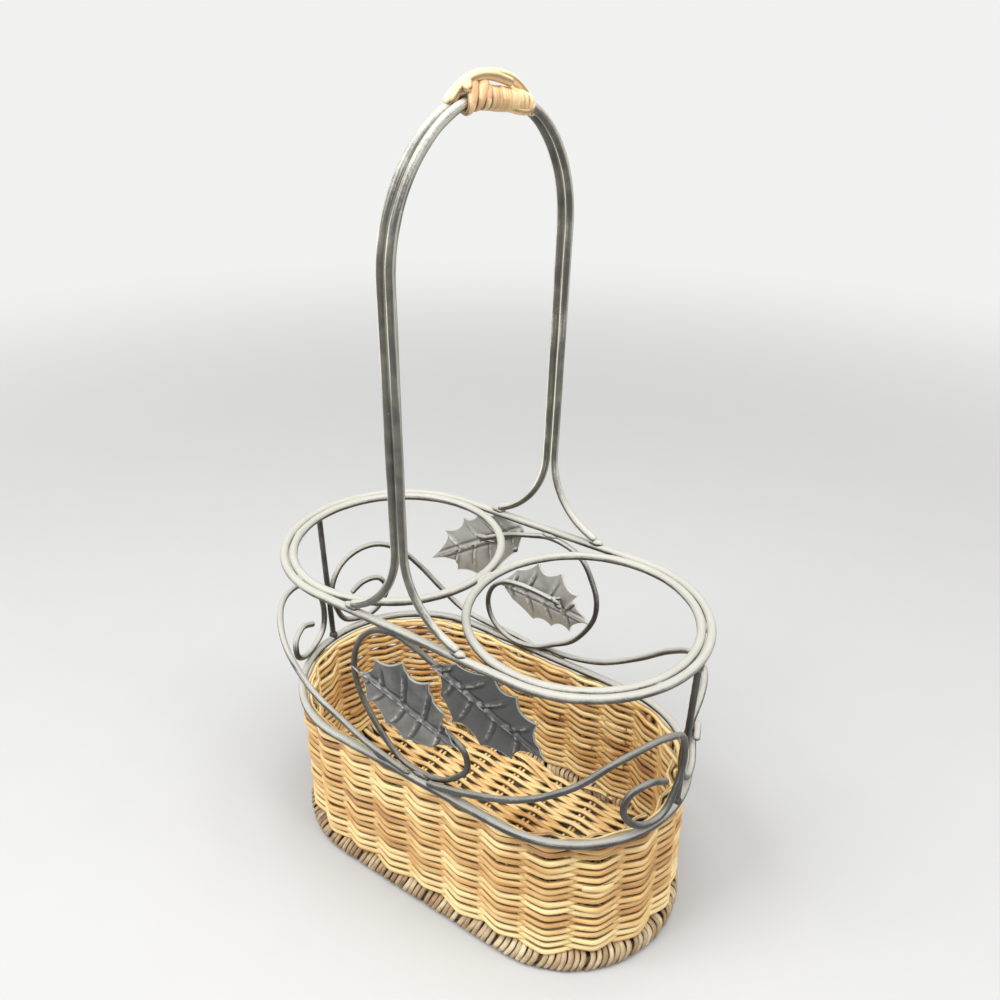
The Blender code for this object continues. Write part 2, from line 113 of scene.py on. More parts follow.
# Scrolls: share of the way from mid side to the end post, share of the way up from the lower rail to
# the upper one, and share of the bulge outwards
SCROLL_SHARES = {
    "scroll_front_right": [
        (0.11, 0.0, 0.0), (0.27, 0.10, 0.0), (0.45, 0.255, 0.0), (0.60, 0.42, 0.0), (0.74, 0.61, 0.0),
        (0.88, 0.67, 0.05), (0.965, 0.60, 0.1), (1.0, 0.42, 0.1), (0.985, 0.18, 0.05), (0.93, 0.02, 0.0),
        (0.86, 0.01, 0.0), (0.79, 0.09, 0.0), (0.762, 0.22, 0.0), (0.785, 0.325, 0.0),
        (0.85, 0.355, 0.0), (0.925, 0.29, 0.0)],
    "scroll_front_left": [
        (0.075, 0.0, 0.0), (0.20, 0.05, 0.0), (0.33, 0.14, 0.0), (0.466, 0.27, 0.3), (0.58, 0.45, 0.9),
        (0.69, 0.55, 1.0), (0.81, 0.58, 0.9), (0.91, 0.55, 0.4), (0.98, 0.42, 0.1), (1.0, 0.25, 0.0),
        (0.975, 0.06, 0.0), (0.91, 0.0, 0.0), (0.835, 0.01, 0.1), (0.786, 0.08, 0.35),
        (0.79, 0.19, 0.4), (0.845, 0.245, 0.2), (0.925, 0.19, 0.0)],
    "scroll_back_left": [
        (0.18, 0.0, 0.0), (0.30, 0.005, 0.0), (0.42, 0.045, 0.0), (0.52, 0.20, 0.0), (0.61, 0.395, 0.0),
        (0.69, 0.545, 0.0), (0.78, 0.62, 0.0), (0.865, 0.605, 0.0), (0.95, 0.52, 0.0), (1.0, 0.37, 0.0),
        (0.99, 0.19, 0.0), (0.95, 0.04, 0.0), (0.89, 0.0, 0.0), (0.825, 0.015, 0.0),
        (0.775, 0.11, 0.0), (0.755, 0.22, 0.0), (0.785, 0.315, 0.0), (0.85, 0.315, 0.0),
        (0.91, 0.25, 0.0)],
    "scroll_back_right": [
        (0.0, 0.0, 0.0), (0.10, 0.01, 0.0), (0.236, 0.075, 0.0), (0.39, 0.24, 0.0), (0.553, 0.49, 0.0),
        (0.647, 0.61, 0.0), (0.75, 0.67, 0.0), (0.84, 0.665, -0.1), (0.93, 0.59, -0.35), (0.99, 0.44, -0.6),
        (1.0, 0.27, -0.6), (0.975, 0.10, -0.45), (0.92, 0.01, -0.2), (0.85, 0.01, 0.0), (0.797, 0.09, 0.0),
        (0.79, 0.21, 0.0), (0.83, 0.295, 0.0), (0.89, 0.265, 0.0)],
}

# Leaf wires: share of the distance from mid side to a ring's centre, and share of the height that
# the wire has between the rails
LEAF_WIRE_SHARES = {
    "leaf_wire_front": [
        (-0.12, 0.545), (0.13, 0.495), (0.40, 0.43), (0.54, 0.36), (0.57, 0.24), (0.46, 0.13),
        (0.28, 0.03), (0.07, 0.0), (-0.14, 0.02), (-0.33, 0.125), (-0.48, 0.26), (-0.60, 0.41),
        (-0.65, 0.56), (-0.62, 0.73), (-0.52, 0.87), (-0.36, 0.965), (-0.15, 1.0), (0.05, 0.97),
        (0.25, 0.915), (0.50, 0.88), (0.76, 0.81)],
    "leaf_wire_back": [
        (0.08, 0.50), (-0.12, 0.515), (-0.33, 0.52), (-0.52, 0.49), (-0.66, 0.40), (-0.715, 0.27),
        (-0.66, 0.12), (-0.50, 0.025), (-0.30, 0.0), (-0.10, 0.03), (0.10, 0.11), (0.30, 0.20),
        (0.46, 0.34), (0.56, 0.50), (0.565, 0.64), (0.50, 0.78), (0.38, 0.92), (0.22, 0.98),
        (0.02, 1.0), (-0.20, 0.965), (-0.45, 0.91), (-0.81, 0.785)],
}

# Holly leaves: base and tip as shares of the same distance and of the height between the rails, how
# pale the upper and lower half is, partly dusty and partly painted light, and how far their side veins
# lean to the tip, then the outline of each half: hollows and spines in turn, as shares of the leaf's
# length along its midrib and away from it
LEAVES = {
    "holly_leaf_front_1": (
        (-0.603, 0.667), (0.514, 0.411), (0.22, 0.38), (0.80, 0.78),
        [(0.154, 0.03), (0.179, 0.191), (0.291, 0.228), (0.386, 0.341), (0.50, 0.264), (0.627, 0.341),
         (0.704, 0.23), (0.814, 0.196), (0.872, 0.062)],
        [(0.075, 0.043), (0.131, 0.087), (0.165, 0.14), (0.194, 0.247), (0.307, 0.236), (0.398, 0.341),
         (0.496, 0.30), (0.578, 0.361), (0.666, 0.275), (0.808, 0.207), (0.883, 0.089)]),
    "holly_leaf_front_2": (
        (0.302, 0.945), (1.360, 0.648), (0.0, 0.06), (1.6, 1.0),
        [(0.071, 0.062), (0.155, 0.156), (0.27, 0.187), (0.428, 0.30), (0.523, 0.238), (0.627, 0.286),
         (0.707, 0.197), (0.833, 0.21), (0.864, 0.079)],
        [(0.099, 0.072), (0.136, 0.223), (0.229, 0.282), (0.303, 0.381), (0.42, 0.303), (0.555, 0.377),
         (0.657, 0.282), (0.796, 0.245), (0.831, 0.09)]),
    "holly_leaf_back_1": (
        (-0.587, 0.455), (0.488, 0.396), (0.85, 0.9), (1.3, 1.3),
        [(0.096, 0.103), (0.173, 0.208), (0.287, 0.266), (0.377, 0.363), (0.474, 0.28), (0.628, 0.362),
         (0.719, 0.238), (0.832, 0.226), (0.809, 0.113)],
        [(0.064, 0.064), (0.154, 0.15), (0.27, 0.20), (0.387, 0.273), (0.484, 0.218), (0.595, 0.25),
         (0.692, 0.171), (0.795, 0.202), (0.845, 0.086)]),
    "holly_leaf_back_2": (
        (-0.302, 0.962), (-1.486, 0.437), (0.9, 0.8), (1.3, 1.3),
        [(0.101, 0.08), (0.203, 0.165), (0.288, 0.163), (0.332, 0.211), (0.446, 0.178), (0.517, 0.212),
         (0.605, 0.15), (0.748, 0.166), (0.788, 0.085)],
        [(0.096, 0.076), (0.174, 0.146), (0.30, 0.175), (0.471, 0.246), (0.564, 0.222), (0.653, 0.227),
         (0.724, 0.176), (0.818, 0.155), (0.796, 0.075)]),
}
# Points along each hollow of a leaf, widths and heights of its relief, how far its edge drops and its
# length bends, and how far it clears its wire
SCALLOP_STEPS = 14
MIDRIB_WIDTH = 0.0012
VEIN_WIDTH = 0.0008
VEIN_HEIGHT = 0.0014
GROOVE_DEPTH = 0.0009
SWELL_HEIGHT = 0.0008
EDGE_DROP = 0.0016
LEAF_BEND = 0.0025
LEAF_CLEARANCE = 0.0012

# Woven basket
WALL_INSET = 0.0023
WALL_REACH = LOWER_REACH
WALL_HALF_WIDTH = LOWER_HALF_WIDTH - WALL_INSET
FIRST_STAKE_RUN = 0.0063
STAKE_DRIFT = 0.0018
STAKE_DRIFT_START = 2.8
WALL_FOOT = 0.0104
WALL_TOP = LOWER_RAIL_HEIGHT - 0.0034
BORDER_HALF_WIDTH = float(spans("base_border")[1]) / 2
BORDER_SIZE = float(spans("base_border")[2])
FLOOR_HALF_WIDTH = float(spans("wicker_floor")[1]) / 2
FLOOR_TOP = float(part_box("wicker_floor")[1][2])
FLOOR_STAKE_PLACES = (-0.095, -0.0725, -0.050, -0.0275, -0.005, 0.0175, 0.040, 0.0625, 0.085)


class BasketWires(PropertyGroup):
    """Sizes of the welded frame."""

    thickness: FloatProperty(
        name="Frame wire", description="Diameter of the rails, rings, rods and posts",
        default=WIRE, unit="LENGTH", precision=4)
    scroll_thickness: FloatProperty(
        name="Scroll wire", description="Diameter of the four scrolls",
        default=SCROLL_WIRE, unit="LENGTH", precision=4)
    leaf_wire_thickness: FloatProperty(
        name="Leaf wire", description="Diameter of the two wires that carry the leaves",
        default=LEAF_WIRE, unit="LENGTH", precision=4)
    unevenness: FloatProperty(
        name="Unevenness", description="How far the wires' thickness swings, as a share",
        default=0.025, subtype="FACTOR")


class BasketWeave(PropertyGroup):
    """Counts and sizes of the woven basket."""

    stakes: IntProperty(
        name="Stakes", description="Upright stakes round the wall, an odd number, so that each row of one"
        " rising weaver passes them on the other side than the row below", default=25)
    row_pitch: FloatProperty(
        name="Row pitch", description="Rise from one row of the wall to the next",
        default=0.00211, unit="LENGTH", precision=5)
    weaver_height: FloatProperty(
        name="Weaver height", description="Height of a weaver's section half way between two stakes",
        default=0.0029, unit="LENGTH", precision=5)
    bend_height: FloatProperty(
        name="Bend height", description="Height of a weaver's section where it bends round a stake",
        default=0.0032, unit="LENGTH", precision=4)
    weaver_depth: FloatProperty(
        name="Weaver depth", description="Thickness of a weaver across the wall",
        default=0.0026, unit="LENGTH", precision=4)
    swing: FloatProperty(
        name="Swing", description="How far a weaver swings to either side of the stakes",
        default=0.0028, unit="LENGTH", precision=4)
    stake_size: FloatProperty(
        name="Stake", description="Diameter of a stake", default=0.003, unit="LENGTH", precision=4)
    floor_pitch: FloatProperty(
        name="Floor pitch", description="Distance between weavers of the floor",
        default=0.0027, unit="LENGTH", precision=5)
    wraps_per_stake: IntProperty(
        name="Wraps", description="Turns of reed on the base border between two gaps", default=7)


class BasketColours(PropertyGroup):
    """Colours of the finishes."""

    iron: FloatVectorProperty(
        name="Iron", description="Black of the wires", subtype="COLOR", size=3,
        min=0.0, max=1.0, default=(0.045, 0.044, 0.040))
    # The pale colour of the dusty coat on the wires, which also stands for their painted sheen and painted
    # highlights, and of their specks of wear
    dust_and_sheen_colour: FloatVectorProperty(
        name="Dust", description="Pale film on the wires' upper side", subtype="COLOR", size=3,
        min=0.0, max=1.0, default=(0.70, 0.68, 0.60))
    leaf: FloatVectorProperty(
        name="Leaf", description="Charcoal of the leaves", subtype="COLOR", size=3,
        min=0.0, max=1.0, default=(0.030, 0.031, 0.030))
    # The pale grey of the leaves is partly dusty and partly painted light: lit halves and painted highlights
    # on veins and rims
    leaf_pale: FloatVectorProperty(
        name="Pale leaf", description="Grey of the leaves where they are dusty", subtype="COLOR", size=3,
        min=0.0, max=1.0, default=(0.39, 0.383, 0.350))
    willow: FloatVectorProperty(
        name="Willow", description="Golden straw of the weavers", subtype="COLOR", size=3,
        min=0.0, max=1.0, default=(0.71, 0.455, 0.175))
    reed: FloatVectorProperty(
        name="Reed", description="Grey brown of the base border", subtype="COLOR", size=3,
        min=0.0, max=1.0, default=(0.45, 0.335, 0.195))
    rattan: FloatVectorProperty(
        name="Rattan", description="Tan of the grip", subtype="COLOR", size=3,
        min=0.0, max=1.0, default=(0.74, 0.52, 0.27))


# Shapes

def unit(vectors):
    """The vectors at length 1."""
    return vectors / np.linalg.norm(vectors, axis=-1, keepdims=True)


def ease(share):
    """A share from 0 to 1 that starts and ends level."""
    share = np.clip(share, 0.0, 1.0)
    return share * share * (3 - 2 * share)


def blend(low, high, share):
    """The value a share of the way from low to high."""
    return low + (high - low) * share


def ripple(rng, count, turn, waves):
    """Slow uneven swings of about -1 to 1 for each strand: a mean of sine waves with random starts.
    Waves are numbers of swings over turn 0 to 1; whole numbers close on themselves."""
    start = rng.uniform(0.0, FULL_TURN, (count, 1, len(waves)))
    swings = np.sin(FULL_TURN * np.asarray(turn)[..., None] * np.asarray(waves) + start)
    return swings.sum(axis=-1) / math.sqrt(len(waves))


def skin(points, fields, closed):
    """Faces over rings of points (strand, ring, side): a quad between neighbours, the last side joined
    to the first, and the last ring to the first or each end closed by a flat cap. Fields hold values
    for each place; on closed strands they have one ring more, so that they may differ at the join."""
    count, rings, sides = points.shape[:3]
    number = np.arange(count * rings * sides).reshape(count, rings, sides)
    if closed:
        number = np.concatenate([number, number[:, :1]], axis=1)

    def corners(field):
        here, there = field[:, :-1], field[:, 1:]
        quads = np.stack([here, np.roll(here, -1, 2), np.roll(there, -1, 2), there], axis=3)
        tail = field.shape[3:]
        parts = [quads.reshape(-1, *tail)]
        if not closed:
            parts += [field[:, 0, ::-1].reshape(-1, *tail), field[:, -1].reshape(-1, *tail)]
        return np.concatenate(parts)

    quad_count = count * (number.shape[1] - 1) * sides
    cap_count = 0 if closed else 2 * count
    return {
        "points": points.reshape(-1, 3),
        "corners": corners(number),
        "sizes": np.r_[np.full(quad_count, 4), np.full(cap_count, sides)],
        "smooth": np.r_[np.ones(quad_count, bool), np.zeros(cap_count, bool)],
        "fields": {name: corners(field) for name, field in fields.items()},
    }


def strands(path, outward, deep, wide, sides=8, closed=False, tone=0.0, swing=0.0, number=0):
    """Strands of oval section, one for each path (strand, ring).

    With T the direction of the path, U outward made square to T, and V = T x U, the surface is
    path + deep/2 cos(a) U + wide/2 sin(a) V, with a going once round. The swing is how far out of a
    weave a strand stands, from -1 to 1, and a side that faces out of the weave is hidden in it by
    -swing cos(a). The number of the first strand keeps its pattern apart from the others'."""
    path = np.asarray(path, float)
    count, rings = path.shape[:2]
    outward = np.broadcast_to(outward, path.shape)
    if closed:
        run = np.roll(path, -1, 1) - np.roll(path, 1, 1)
        steps = np.linalg.norm(np.roll(path, -1, 1) - path, axis=-1)
        along = np.concatenate([np.zeros((count, 1)), np.cumsum(steps, axis=1)], axis=1)
    else:
        run = np.gradient(path, axis=1)
        steps = np.linalg.norm(np.diff(path, axis=1), axis=-1)
        along = np.concatenate([np.zeros((count, 1)), np.cumsum(steps, axis=1)], axis=1)
    direction = unit(run)
    across = unit(np.cross(direction, outward))
    up = np.cross(across, direction)
    angle = FULL_TURN * np.arange(sides) / sides
    first = np.broadcast_to(deep, (count, rings))[..., None] / 2 * np.cos(angle)
    second = np.broadcast_to(wide, (count, rings))[..., None] / 2 * np.sin(angle)
    points = path[:, :, None] + first[..., None] * up[:, :, None] + second[..., None] * across[:, :, None]
    facing = np.cos(angle)[:, None] * up[:, :, None] + np.sin(angle)[:, None] * across[:, :, None]

    def closing(field):
        return np.concatenate([field, field[:, :1]], axis=1) if closed else field

    offset = along + STRAND_SPACING * (number + np.arange(count)[:, None])
    fibre = np.stack([
        np.broadcast_to(offset[..., None], (*offset.shape, sides)), closing(first), closing(second)], axis=-1)
    shade = np.broadcast_to(np.asarray(tone, float).reshape(-1, 1, 1), fibre.shape[:3])
    edge = np.broadcast_to(np.abs(np.sin(angle)), fibre.shape[:3])
    # recess is largest on the side hidden in the weave, where the finishes paint shade
    recess = closing(-np.broadcast_to(swing, (count, rings))[..., None] * np.cos(angle))
    fields = {
        "fibre": fibre, "tone": shade, "edge": edge, "lift": closing(facing[..., 2]), "recess": recess}
    return skin(points, fields, closed)


# How far apart the strands of one piece lie in their pattern, so that no two look alike
STRAND_SPACING = 1.37


# How wide the very end of a cut strand is, as a share of its section
CUT_END_SHARE = 0.55


def rounded_ends(path, size):
    """The path with a point added near each end, and the share of the full section at each point, so
    that a strand ends in a small rounded edge."""
    step = unit(path[:, 1] - path[:, 0])[:, None] * size * 0.2
    back = unit(path[:, -2] - path[:, -1])[:, None] * size * 0.2
    longer = np.concatenate(
        [path[:, :1], path[:, :1] + step, path[:, 1:-1], path[:, -1:] + back, path[:, -1:]], axis=1)
    full = np.ones(longer.shape[:2])
    full[:, 0] = full[:, -1] = CUT_END_SHARE
    return longer, full


def padded_ends(outward):
    """The directions with the first and last given twice, as rounded_ends adds a point at each end."""
    return np.concatenate([outward[:1], outward, outward[-1:]])


DOME_RINGS = 5


def domed_ends(path, size):
    """The path with a dome beyond each end, and the share of the full section at each point: rings at
    size / 2 sin(a) beyond the end are cos(a) as wide, with a from near 0 to near a quarter turn."""
    angle = np.linspace(0.2, 1.45, DOME_RINGS)[:, None]
    step = unit(path[:, :1] - path[:, 1:2]) * size / 2
    back = unit(path[:, -1:] - path[:, -2:-1]) * size / 2
    head = path[:, :1] + step * np.sin(angle[::-1])
    tail = path[:, -1:] + back * np.sin(angle)
    longer = np.concatenate([head, path, tail], axis=1)
    full = np.ones(longer.shape[:2])
    full[:, :DOME_RINGS] = np.cos(angle[::-1, 0])
    full[:, -DOME_RINGS:] = np.cos(angle[:, 0])
    return longer, full


def join(*shapes):
    """Several shapes as one."""
    offsets = np.cumsum([0] + [len(shape["points"]) for shape in shapes[:-1]])
    names = shapes[0]["fields"]
    return {
        "points": np.concatenate([shape["points"] for shape in shapes]),
        "corners": np.concatenate([shape["corners"] + n for shape, n in zip(shapes, offsets)]),
        "sizes": np.concatenate([shape["sizes"] for shape in shapes]),
        "smooth": np.concatenate([shape["smooth"] for shape in shapes]),
        "fields": {name: np.concatenate([shape["fields"][name] for shape in shapes]) for name in names},
    }


def add_piece(name, shape, finish, slot, *nodes):
    """Puts a shape into the scene as a piece that rides on the basket and stands for the nodes."""
    mesh = bpy.data.meshes.new(name)
    mesh.vertices.add(len(shape["points"]))
    mesh.vertices.foreach_set("co", shape["points"].astype(np.float32).ravel())
    mesh.loops.add(len(shape["corners"]))
    mesh.loops.foreach_set("vertex_index", shape["corners"].astype(np.int32))
    mesh.polygons.add(len(shape["sizes"]))
    starts = np.concatenate([[0], np.cumsum(shape["sizes"])[:-1]]).astype(np.int32)
    mesh.polygons.foreach_set("loop_start", starts)
    mesh.update(calc_edges=True)
    mesh.polygons.foreach_set("use_smooth", shape["smooth"])
    for field, values in shape["fields"].items():
        vector = values.ndim == 2
        layer = mesh.attributes.new(field, "FLOAT_VECTOR" if vector else "FLOAT", "CORNER")
        layer.data.foreach_set("vector" if vector else "value", values.astype(np.float32).ravel())
    if mesh.validate():
        raise RuntimeError(f"{name} has faces that don't hold together")
    mesh.materials.append(finish)
    piece = bpy.data.objects.new(name, mesh)
    bpy.context.scene.collection.objects.link(piece)
    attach(piece, BODY)
    if nodes:
        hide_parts(*nodes)
    return piece


def on_loop(run, reach, half_width):
    """Places and outward directions on a loop of two straights of twice the reach, joined by half
    circles, at a run along it from the middle of the front. On a half circle the place is the end of
    the straight plus half_width (sin(turn), -cos(turn)), and the second half of the loop is the first
    turned by half a turn."""
    half = 2 * reach + math.pi * half_width
    run = (np.asarray(run, float) + reach) % (2 * half)
    side = np.where(run < half, 1.0, -1.0)
    run = np.where(run < half, run, run - half)
    turn = np.clip((run - 2 * reach) / half_width, 0.0, math.pi)
    outward = np.stack([side * np.sin(turn), -side * np.cos(turn)], axis=-1)
    straight = np.minimum(run, 2 * reach) - reach
    straight = np.where(run > 2 * reach, reach, straight)
    place = half_width * outward
    place[..., 0] += side * straight
    return place, outward


def standing(place, outward, out, height):
    """Places at a distance out of a loop and a height, and the level directions out of it."""
    level = np.concatenate([outward, np.zeros((*outward.shape[:-1], 1))], axis=-1)
    return np.concatenate([place + outward * out[..., None], height[..., None]], axis=-1), level


def squarish(wave, power):
    """A sine or cosine that stays near 1 and -1 for longer: its size to a power below 1."""
    return np.sign(wave) * np.abs(wave) ** power


def loop_length(reach, half_width):
    """The length of such a loop."""
    return 4 * reach + FULL_TURN * half_width


def smooth(points, steps):
    """Points on a cubic curve through the given points, with steps between two of them and the tangent
    at each taken from its neighbours."""
    knots = np.array(points, dtype=float)
    place = np.r_[0.0, np.cumsum(np.linalg.norm(np.diff(knots, axis=0), axis=1))]
    tangent = np.gradient(knots, place, axis=0)
    numbers = np.linspace(0, len(knots) - 1, steps * (len(knots) - 1) + 1)
    where = np.interp(numbers, np.arange(len(knots)), place)
    index = np.clip(np.searchsorted(place, where, side="right") - 1, 0, len(knots) - 2)
    span = (place[index + 1] - place[index])[:, None]
    share = (where - place[index])[:, None] / span
    back = 1 - share
    start = (1 + 2 * share) * back**2 * knots[index] + share * back**2 * span * tangent[index]
    end = share**2 * (3 - 2 * share) * knots[index + 1] - share**2 * back * span * tangent[index + 1]
    return start + end


# Finishes

class Term:
    """A socket of a finish's nodes. The operators + - and * on it add Math nodes."""

    def __init__(self, finish, socket):
        self.finish = finish
        self.socket = socket

    def maths(self, operation, *values):
        return self.finish.add("Math", {"operation": operation}, dict(enumerate(values)))

    def __add__(self, other):
        return self.maths("ADD", self, other)

    def __sub__(self, other):
        return self.maths("SUBTRACT", self, other)

    def __rsub__(self, other):
        return self.maths("SUBTRACT", other, self)

    def __mul__(self, other):
        return self.maths("MULTIPLY", self, other)

    __radd__ = __add__
    __rmul__ = __mul__

    def between(self, low, high):
        """0 below low, 1 above high, and a smooth step between; low above high turns it round."""
        return self.finish.add(
            "MapRange", {"interpolation_type": "SMOOTHSTEP"}, {0: self, 1: low, 2: high, 3: 0.0, 4: 1.0})


class Finish:
    """A material being made."""

    def __init__(self, name, **constants):
        self.material = bpy.data.materials.new(name)
        self.material.use_nodes = True
        self.tree = self.material.node_tree
        self.shader = self.tree.nodes["Principled BSDF"]
        for socket, value in constants.items():
            self.shader.inputs[socket.replace("_", " ")].default_value = value

    def add(self, kind, settings, values, output=0):
        """Adds a node: its settings are set first, then the values or links of its sockets."""
        node = self.tree.nodes.new("ShaderNode" + kind)
        for setting, value in settings.items():
            if setting == "stops":
                for number, (place, colour) in enumerate(value):
                    stops = node.color_ramp.elements
                    stop = stops[number] if number < len(stops) else stops.new(place)
                    stop.position = place
                    stop.color = (*colour, 1.0)
            else:
                setattr(node, setting, value)
        for socket, value in values.items():
            if isinstance(value, Term):
                self.tree.links.new(value.socket, node.inputs[socket])
            else:
                node.inputs[socket].default_value = value
        return Term(self, node.outputs[output])

    def field(self, name):
        """A number that the piece carries for each corner."""
        return self.add("Attribute", {"attribute_name": name}, {}, output="Fac")

    def places(self, name, scale):
        """A place that the piece carries for each corner, or Object coordinates, times a scale."""
        if name == "Object":
            place = self.add("TexCoord", {}, {}, output="Object")
        else:
            place = self.add("Attribute", {"attribute_name": name}, {}, output="Vector")
        return self.add("VectorMath", {"operation": "MULTIPLY"}, {0: place, 1: scale})

    def part(self, name, number):
        """One part of a place, as a number: 0, 1 or 2 for along X, Y or Z."""
        axis = tuple(float(number == n) for n in range(3))
        place = self.places(name, (1.0, 1.0, 1.0))
        return self.add("VectorMath", {"operation": "DOT_PRODUCT"}, {0: place, 1: axis}, output="Value")

    def noise(self, name, scale, detail, rough=0.5):
        """Cloudy values from about 0.25 to 0.75, at a scale that is one number or one for each way."""
        scale = scale if isinstance(scale, tuple) else (scale,) * 3
        sockets = {"Vector": self.places(name, scale), "Scale": 1.0, "Detail": detail, "Roughness": rough}
        return self.add("TexNoise", {}, sockets, "Fac")

    def mix(self, first, second, share):
        """Two colours mixed by a share."""
        def colour(value):
            return value if isinstance(value, Term) else (*value, 1.0)
        return self.add(
            "Mix", {"data_type": "RGBA"},
            {0: share, 6: colour(first), 7: colour(second)}, output=2)

    def ramp(self, value, *stops):
        """A colour looked up between stops of place and colour."""
        return self.add("ValToRGB", {"stops": stops}, {0: value}, "Color")

    def bump(self, height, distance, strength=1.0):
        """A surface normal roughened by a height."""
        return self.add("Bump", {}, {"Strength": strength, "Distance": distance, "Height": height}, "Normal")

    def feed(self, **links):
        """Links values to the shader's sockets and returns the material."""
        for socket, value in links.items():
            self.tree.links.new(value.socket, self.shader.inputs[socket.replace("_", " ")])
        return self.material


def tinted(colour, factor, towards=(1.0, 1.0, 1.0)):
    """A colour made lighter or darker by a factor and tinted."""
    return tuple(min(1.0, max(0.0, c * factor * t)) for c, t in zip(colour, towards))


def iron_finish(name, grey, dust_and_sheen_low, dust_and_sheen_high, cover, far_cover, highlight_lines):
    """Blackened iron: dark paint, made greyer by a factor, a pale coat on the side that faces up from one
    lift to another, partly dusty and partly painted sheen, with more of it at the back and left of the
    basket as painted light, specks of wear and, on the rods, a painted highlight line along their left
    side and a fainter one along their right."""
    if name in bpy.data.materials:
        return bpy.data.materials[name]
    colours = bpy.context.scene.basket_colours
    iron = tinted(colours.iron, grey)
    dust_and_sheen_colour = tuple(colours.dust_and_sheen_colour)
    finish = Finish(name, Metallic=0.0, IOR=1.5)
    lift = finish.field("lift")
    cloud = finish.noise("Object", 90.0, 4.0, 0.6)
    grit = finish.noise("Object", 900.0, 3.0, 0.6)
    scuff = finish.noise("Object", 260.0, 5.0, 0.7)
    drawn = finish.noise("fibre", (30.0, 1500.0, 1500.0), 3.0, 0.6)
    # Painted light: the pale coat grows towards the back and left of the basket, where the wires look more
    # lit
    behind = finish.part("Object", 1).between(-0.035, 0.045)
    back = (behind + finish.part("Object", 0).between(0.010, -0.085)).between(0.0, 1.0)
    uneven = (cloud - 0.5) * 0.5
    # Painted sheen: the side that faces up is paled, partly as a dusty coat and partly as painted sheen
    dust_and_sheen = (lift + back * 0.25 + uneven + (grit - 0.5) * 0.4 + (drawn - 0.5) * 1.2).between(
        dust_and_sheen_low, dust_and_sheen_high)
    body = finish.mix(iron, tinted(iron, 2.2, (1.0, 0.98, 0.9)), cloud.between(0.35, 0.7))
    lined = finish.mix(body, tinted(iron, 0.45), drawn.between(0.42, 0.30) * 0.6)
    coated = finish.mix(lined, dust_and_sheen_colour, dust_and_sheen * (back * (far_cover - cover) + cover))
    specked = finish.mix(coated, dust_and_sheen_colour, scuff.between(0.67, 0.73) * 0.35)
    # Painted highlight: a pale line along the rods' left side and a fainter one along their right
    if highlight_lines:
        line = finish.noise("fibre", (14.0, 500.0, 500.0), 4.0, 0.7)
        sideways = finish.part("fibre", 2)
        painted_edge_highlight = sideways.between(-0.0003, -0.0008) + sideways.between(0.0015, 0.0018) * 0.45
        painted_edge_highlight = painted_edge_highlight * line.between(0.36, 0.58) * lift.between(0.5, 0.15)
        specked = finish.mix(specked, (0.80, 0.78, 0.62), painted_edge_highlight * highlight_lines)
    rough = (cloud - 0.5) * 0.25 + dust_and_sheen * 0.12 + 0.38
    height = grit * 0.6 + scuff * 0.8
    return finish.feed(
        Base_Color=specked, Roughness=rough, Normal=finish.bump(height, 0.00012, 0.5))


# The kinds are lit and shaded copies of one iron, paler where more light falls. Greyness, the lifts
# between which the pale coat, partly dusty and partly painted sheen, starts and is full, its cover at
# the front and at the back of the basket, and the strength of the painted highlight line
IRON_KINDS = {
    "upper": (0.8, 0.02, 0.72, 0.50, 0.55, 0.0),
    "rail": (0.6, 0.25, 0.85, 0.42, 0.62, 0.0),
    "lower": (0.6, 0.28, 0.95, 0.28, 0.60, 0.0),
    "rods": (1.3, 0.25, 0.75, 0.55, 0.58, 0.9),
}


def frame_finish(kind):
    """The iron of the upper wires, of the lower rail, of the wires between, or of the two rods, each a lit or
    shaded copy of the same iron.
    """
    return iron_finish("iron_" + kind, *IRON_KINDS[kind])


def leaf_finish():
    """Charcoal sheet metal: halves paler or darker partly as painted light, veins made paler partly by dusty
    wear and partly as a painted highlight, a painted highlight round the rims, painted shade along each
    groove, chalky patches and fine scratches.
    """
    colours = bpy.context.scene.basket_colours
    leaf = tuple(colours.leaf)
    pale = tuple(colours.leaf_pale)
    finish = Finish("leaf_sheet", Metallic=0.0, IOR=1.6)
    tone = finish.field("tone")
    cloud = finish.noise("Object", 110.0, 5.0, 0.65)
    chalk = finish.noise("Object", 420.0, 4.0, 0.6)
    scratch = finish.noise("fibre", (160.0, 1500.0, 160.0), 4.0, 0.6)
    # The tone makes each half paler or darker, partly dusty and partly painted light
    body = finish.mix(leaf, pale, (tone + (cloud - 0.5) * 0.7 + (chalk - 0.5) * 0.25).between(0.0, 1.15))
    # Painted highlight on the veins, partly dusty
    vein_dust_and_highlight = finish.field("vein") * chalk.between(0.30, 0.62)
    lined = finish.mix(body, tinted(pale, 1.7), vein_dust_and_highlight.between(0.25, 0.9) * (tone * 0.6 + 0.26))
    # Painted shade along each groove beside the veins and the midrib
    groove_shade = finish.field("groove").between(0.2, 0.8)
    groove_shaded = finish.mix(lined, tinted(leaf, 0.35), groove_shade * (0.9 - tone * 0.35))
    # Painted highlight round the rim
    rim = finish.field("edge")
    painted_edge_highlight = finish.mix(groove_shaded, tinted(pale, 2.2, (1.0, 0.99, 0.94)), rim * (tone * 0.5 + 0.25))
    marked = finish.mix(painted_edge_highlight, tinted(pale, 1.5), scratch.between(0.64, 0.74) * (tone * 0.25 + 0.10))
    rough = (cloud - 0.5) * 0.4 + (chalk - 0.5) * 0.2 + 0.42
    return finish.feed(
        Base_Color=marked, Roughness=rough, Normal=finish.bump(chalk * 0.6 + scratch * 0.6, 0.00012, 0.6))


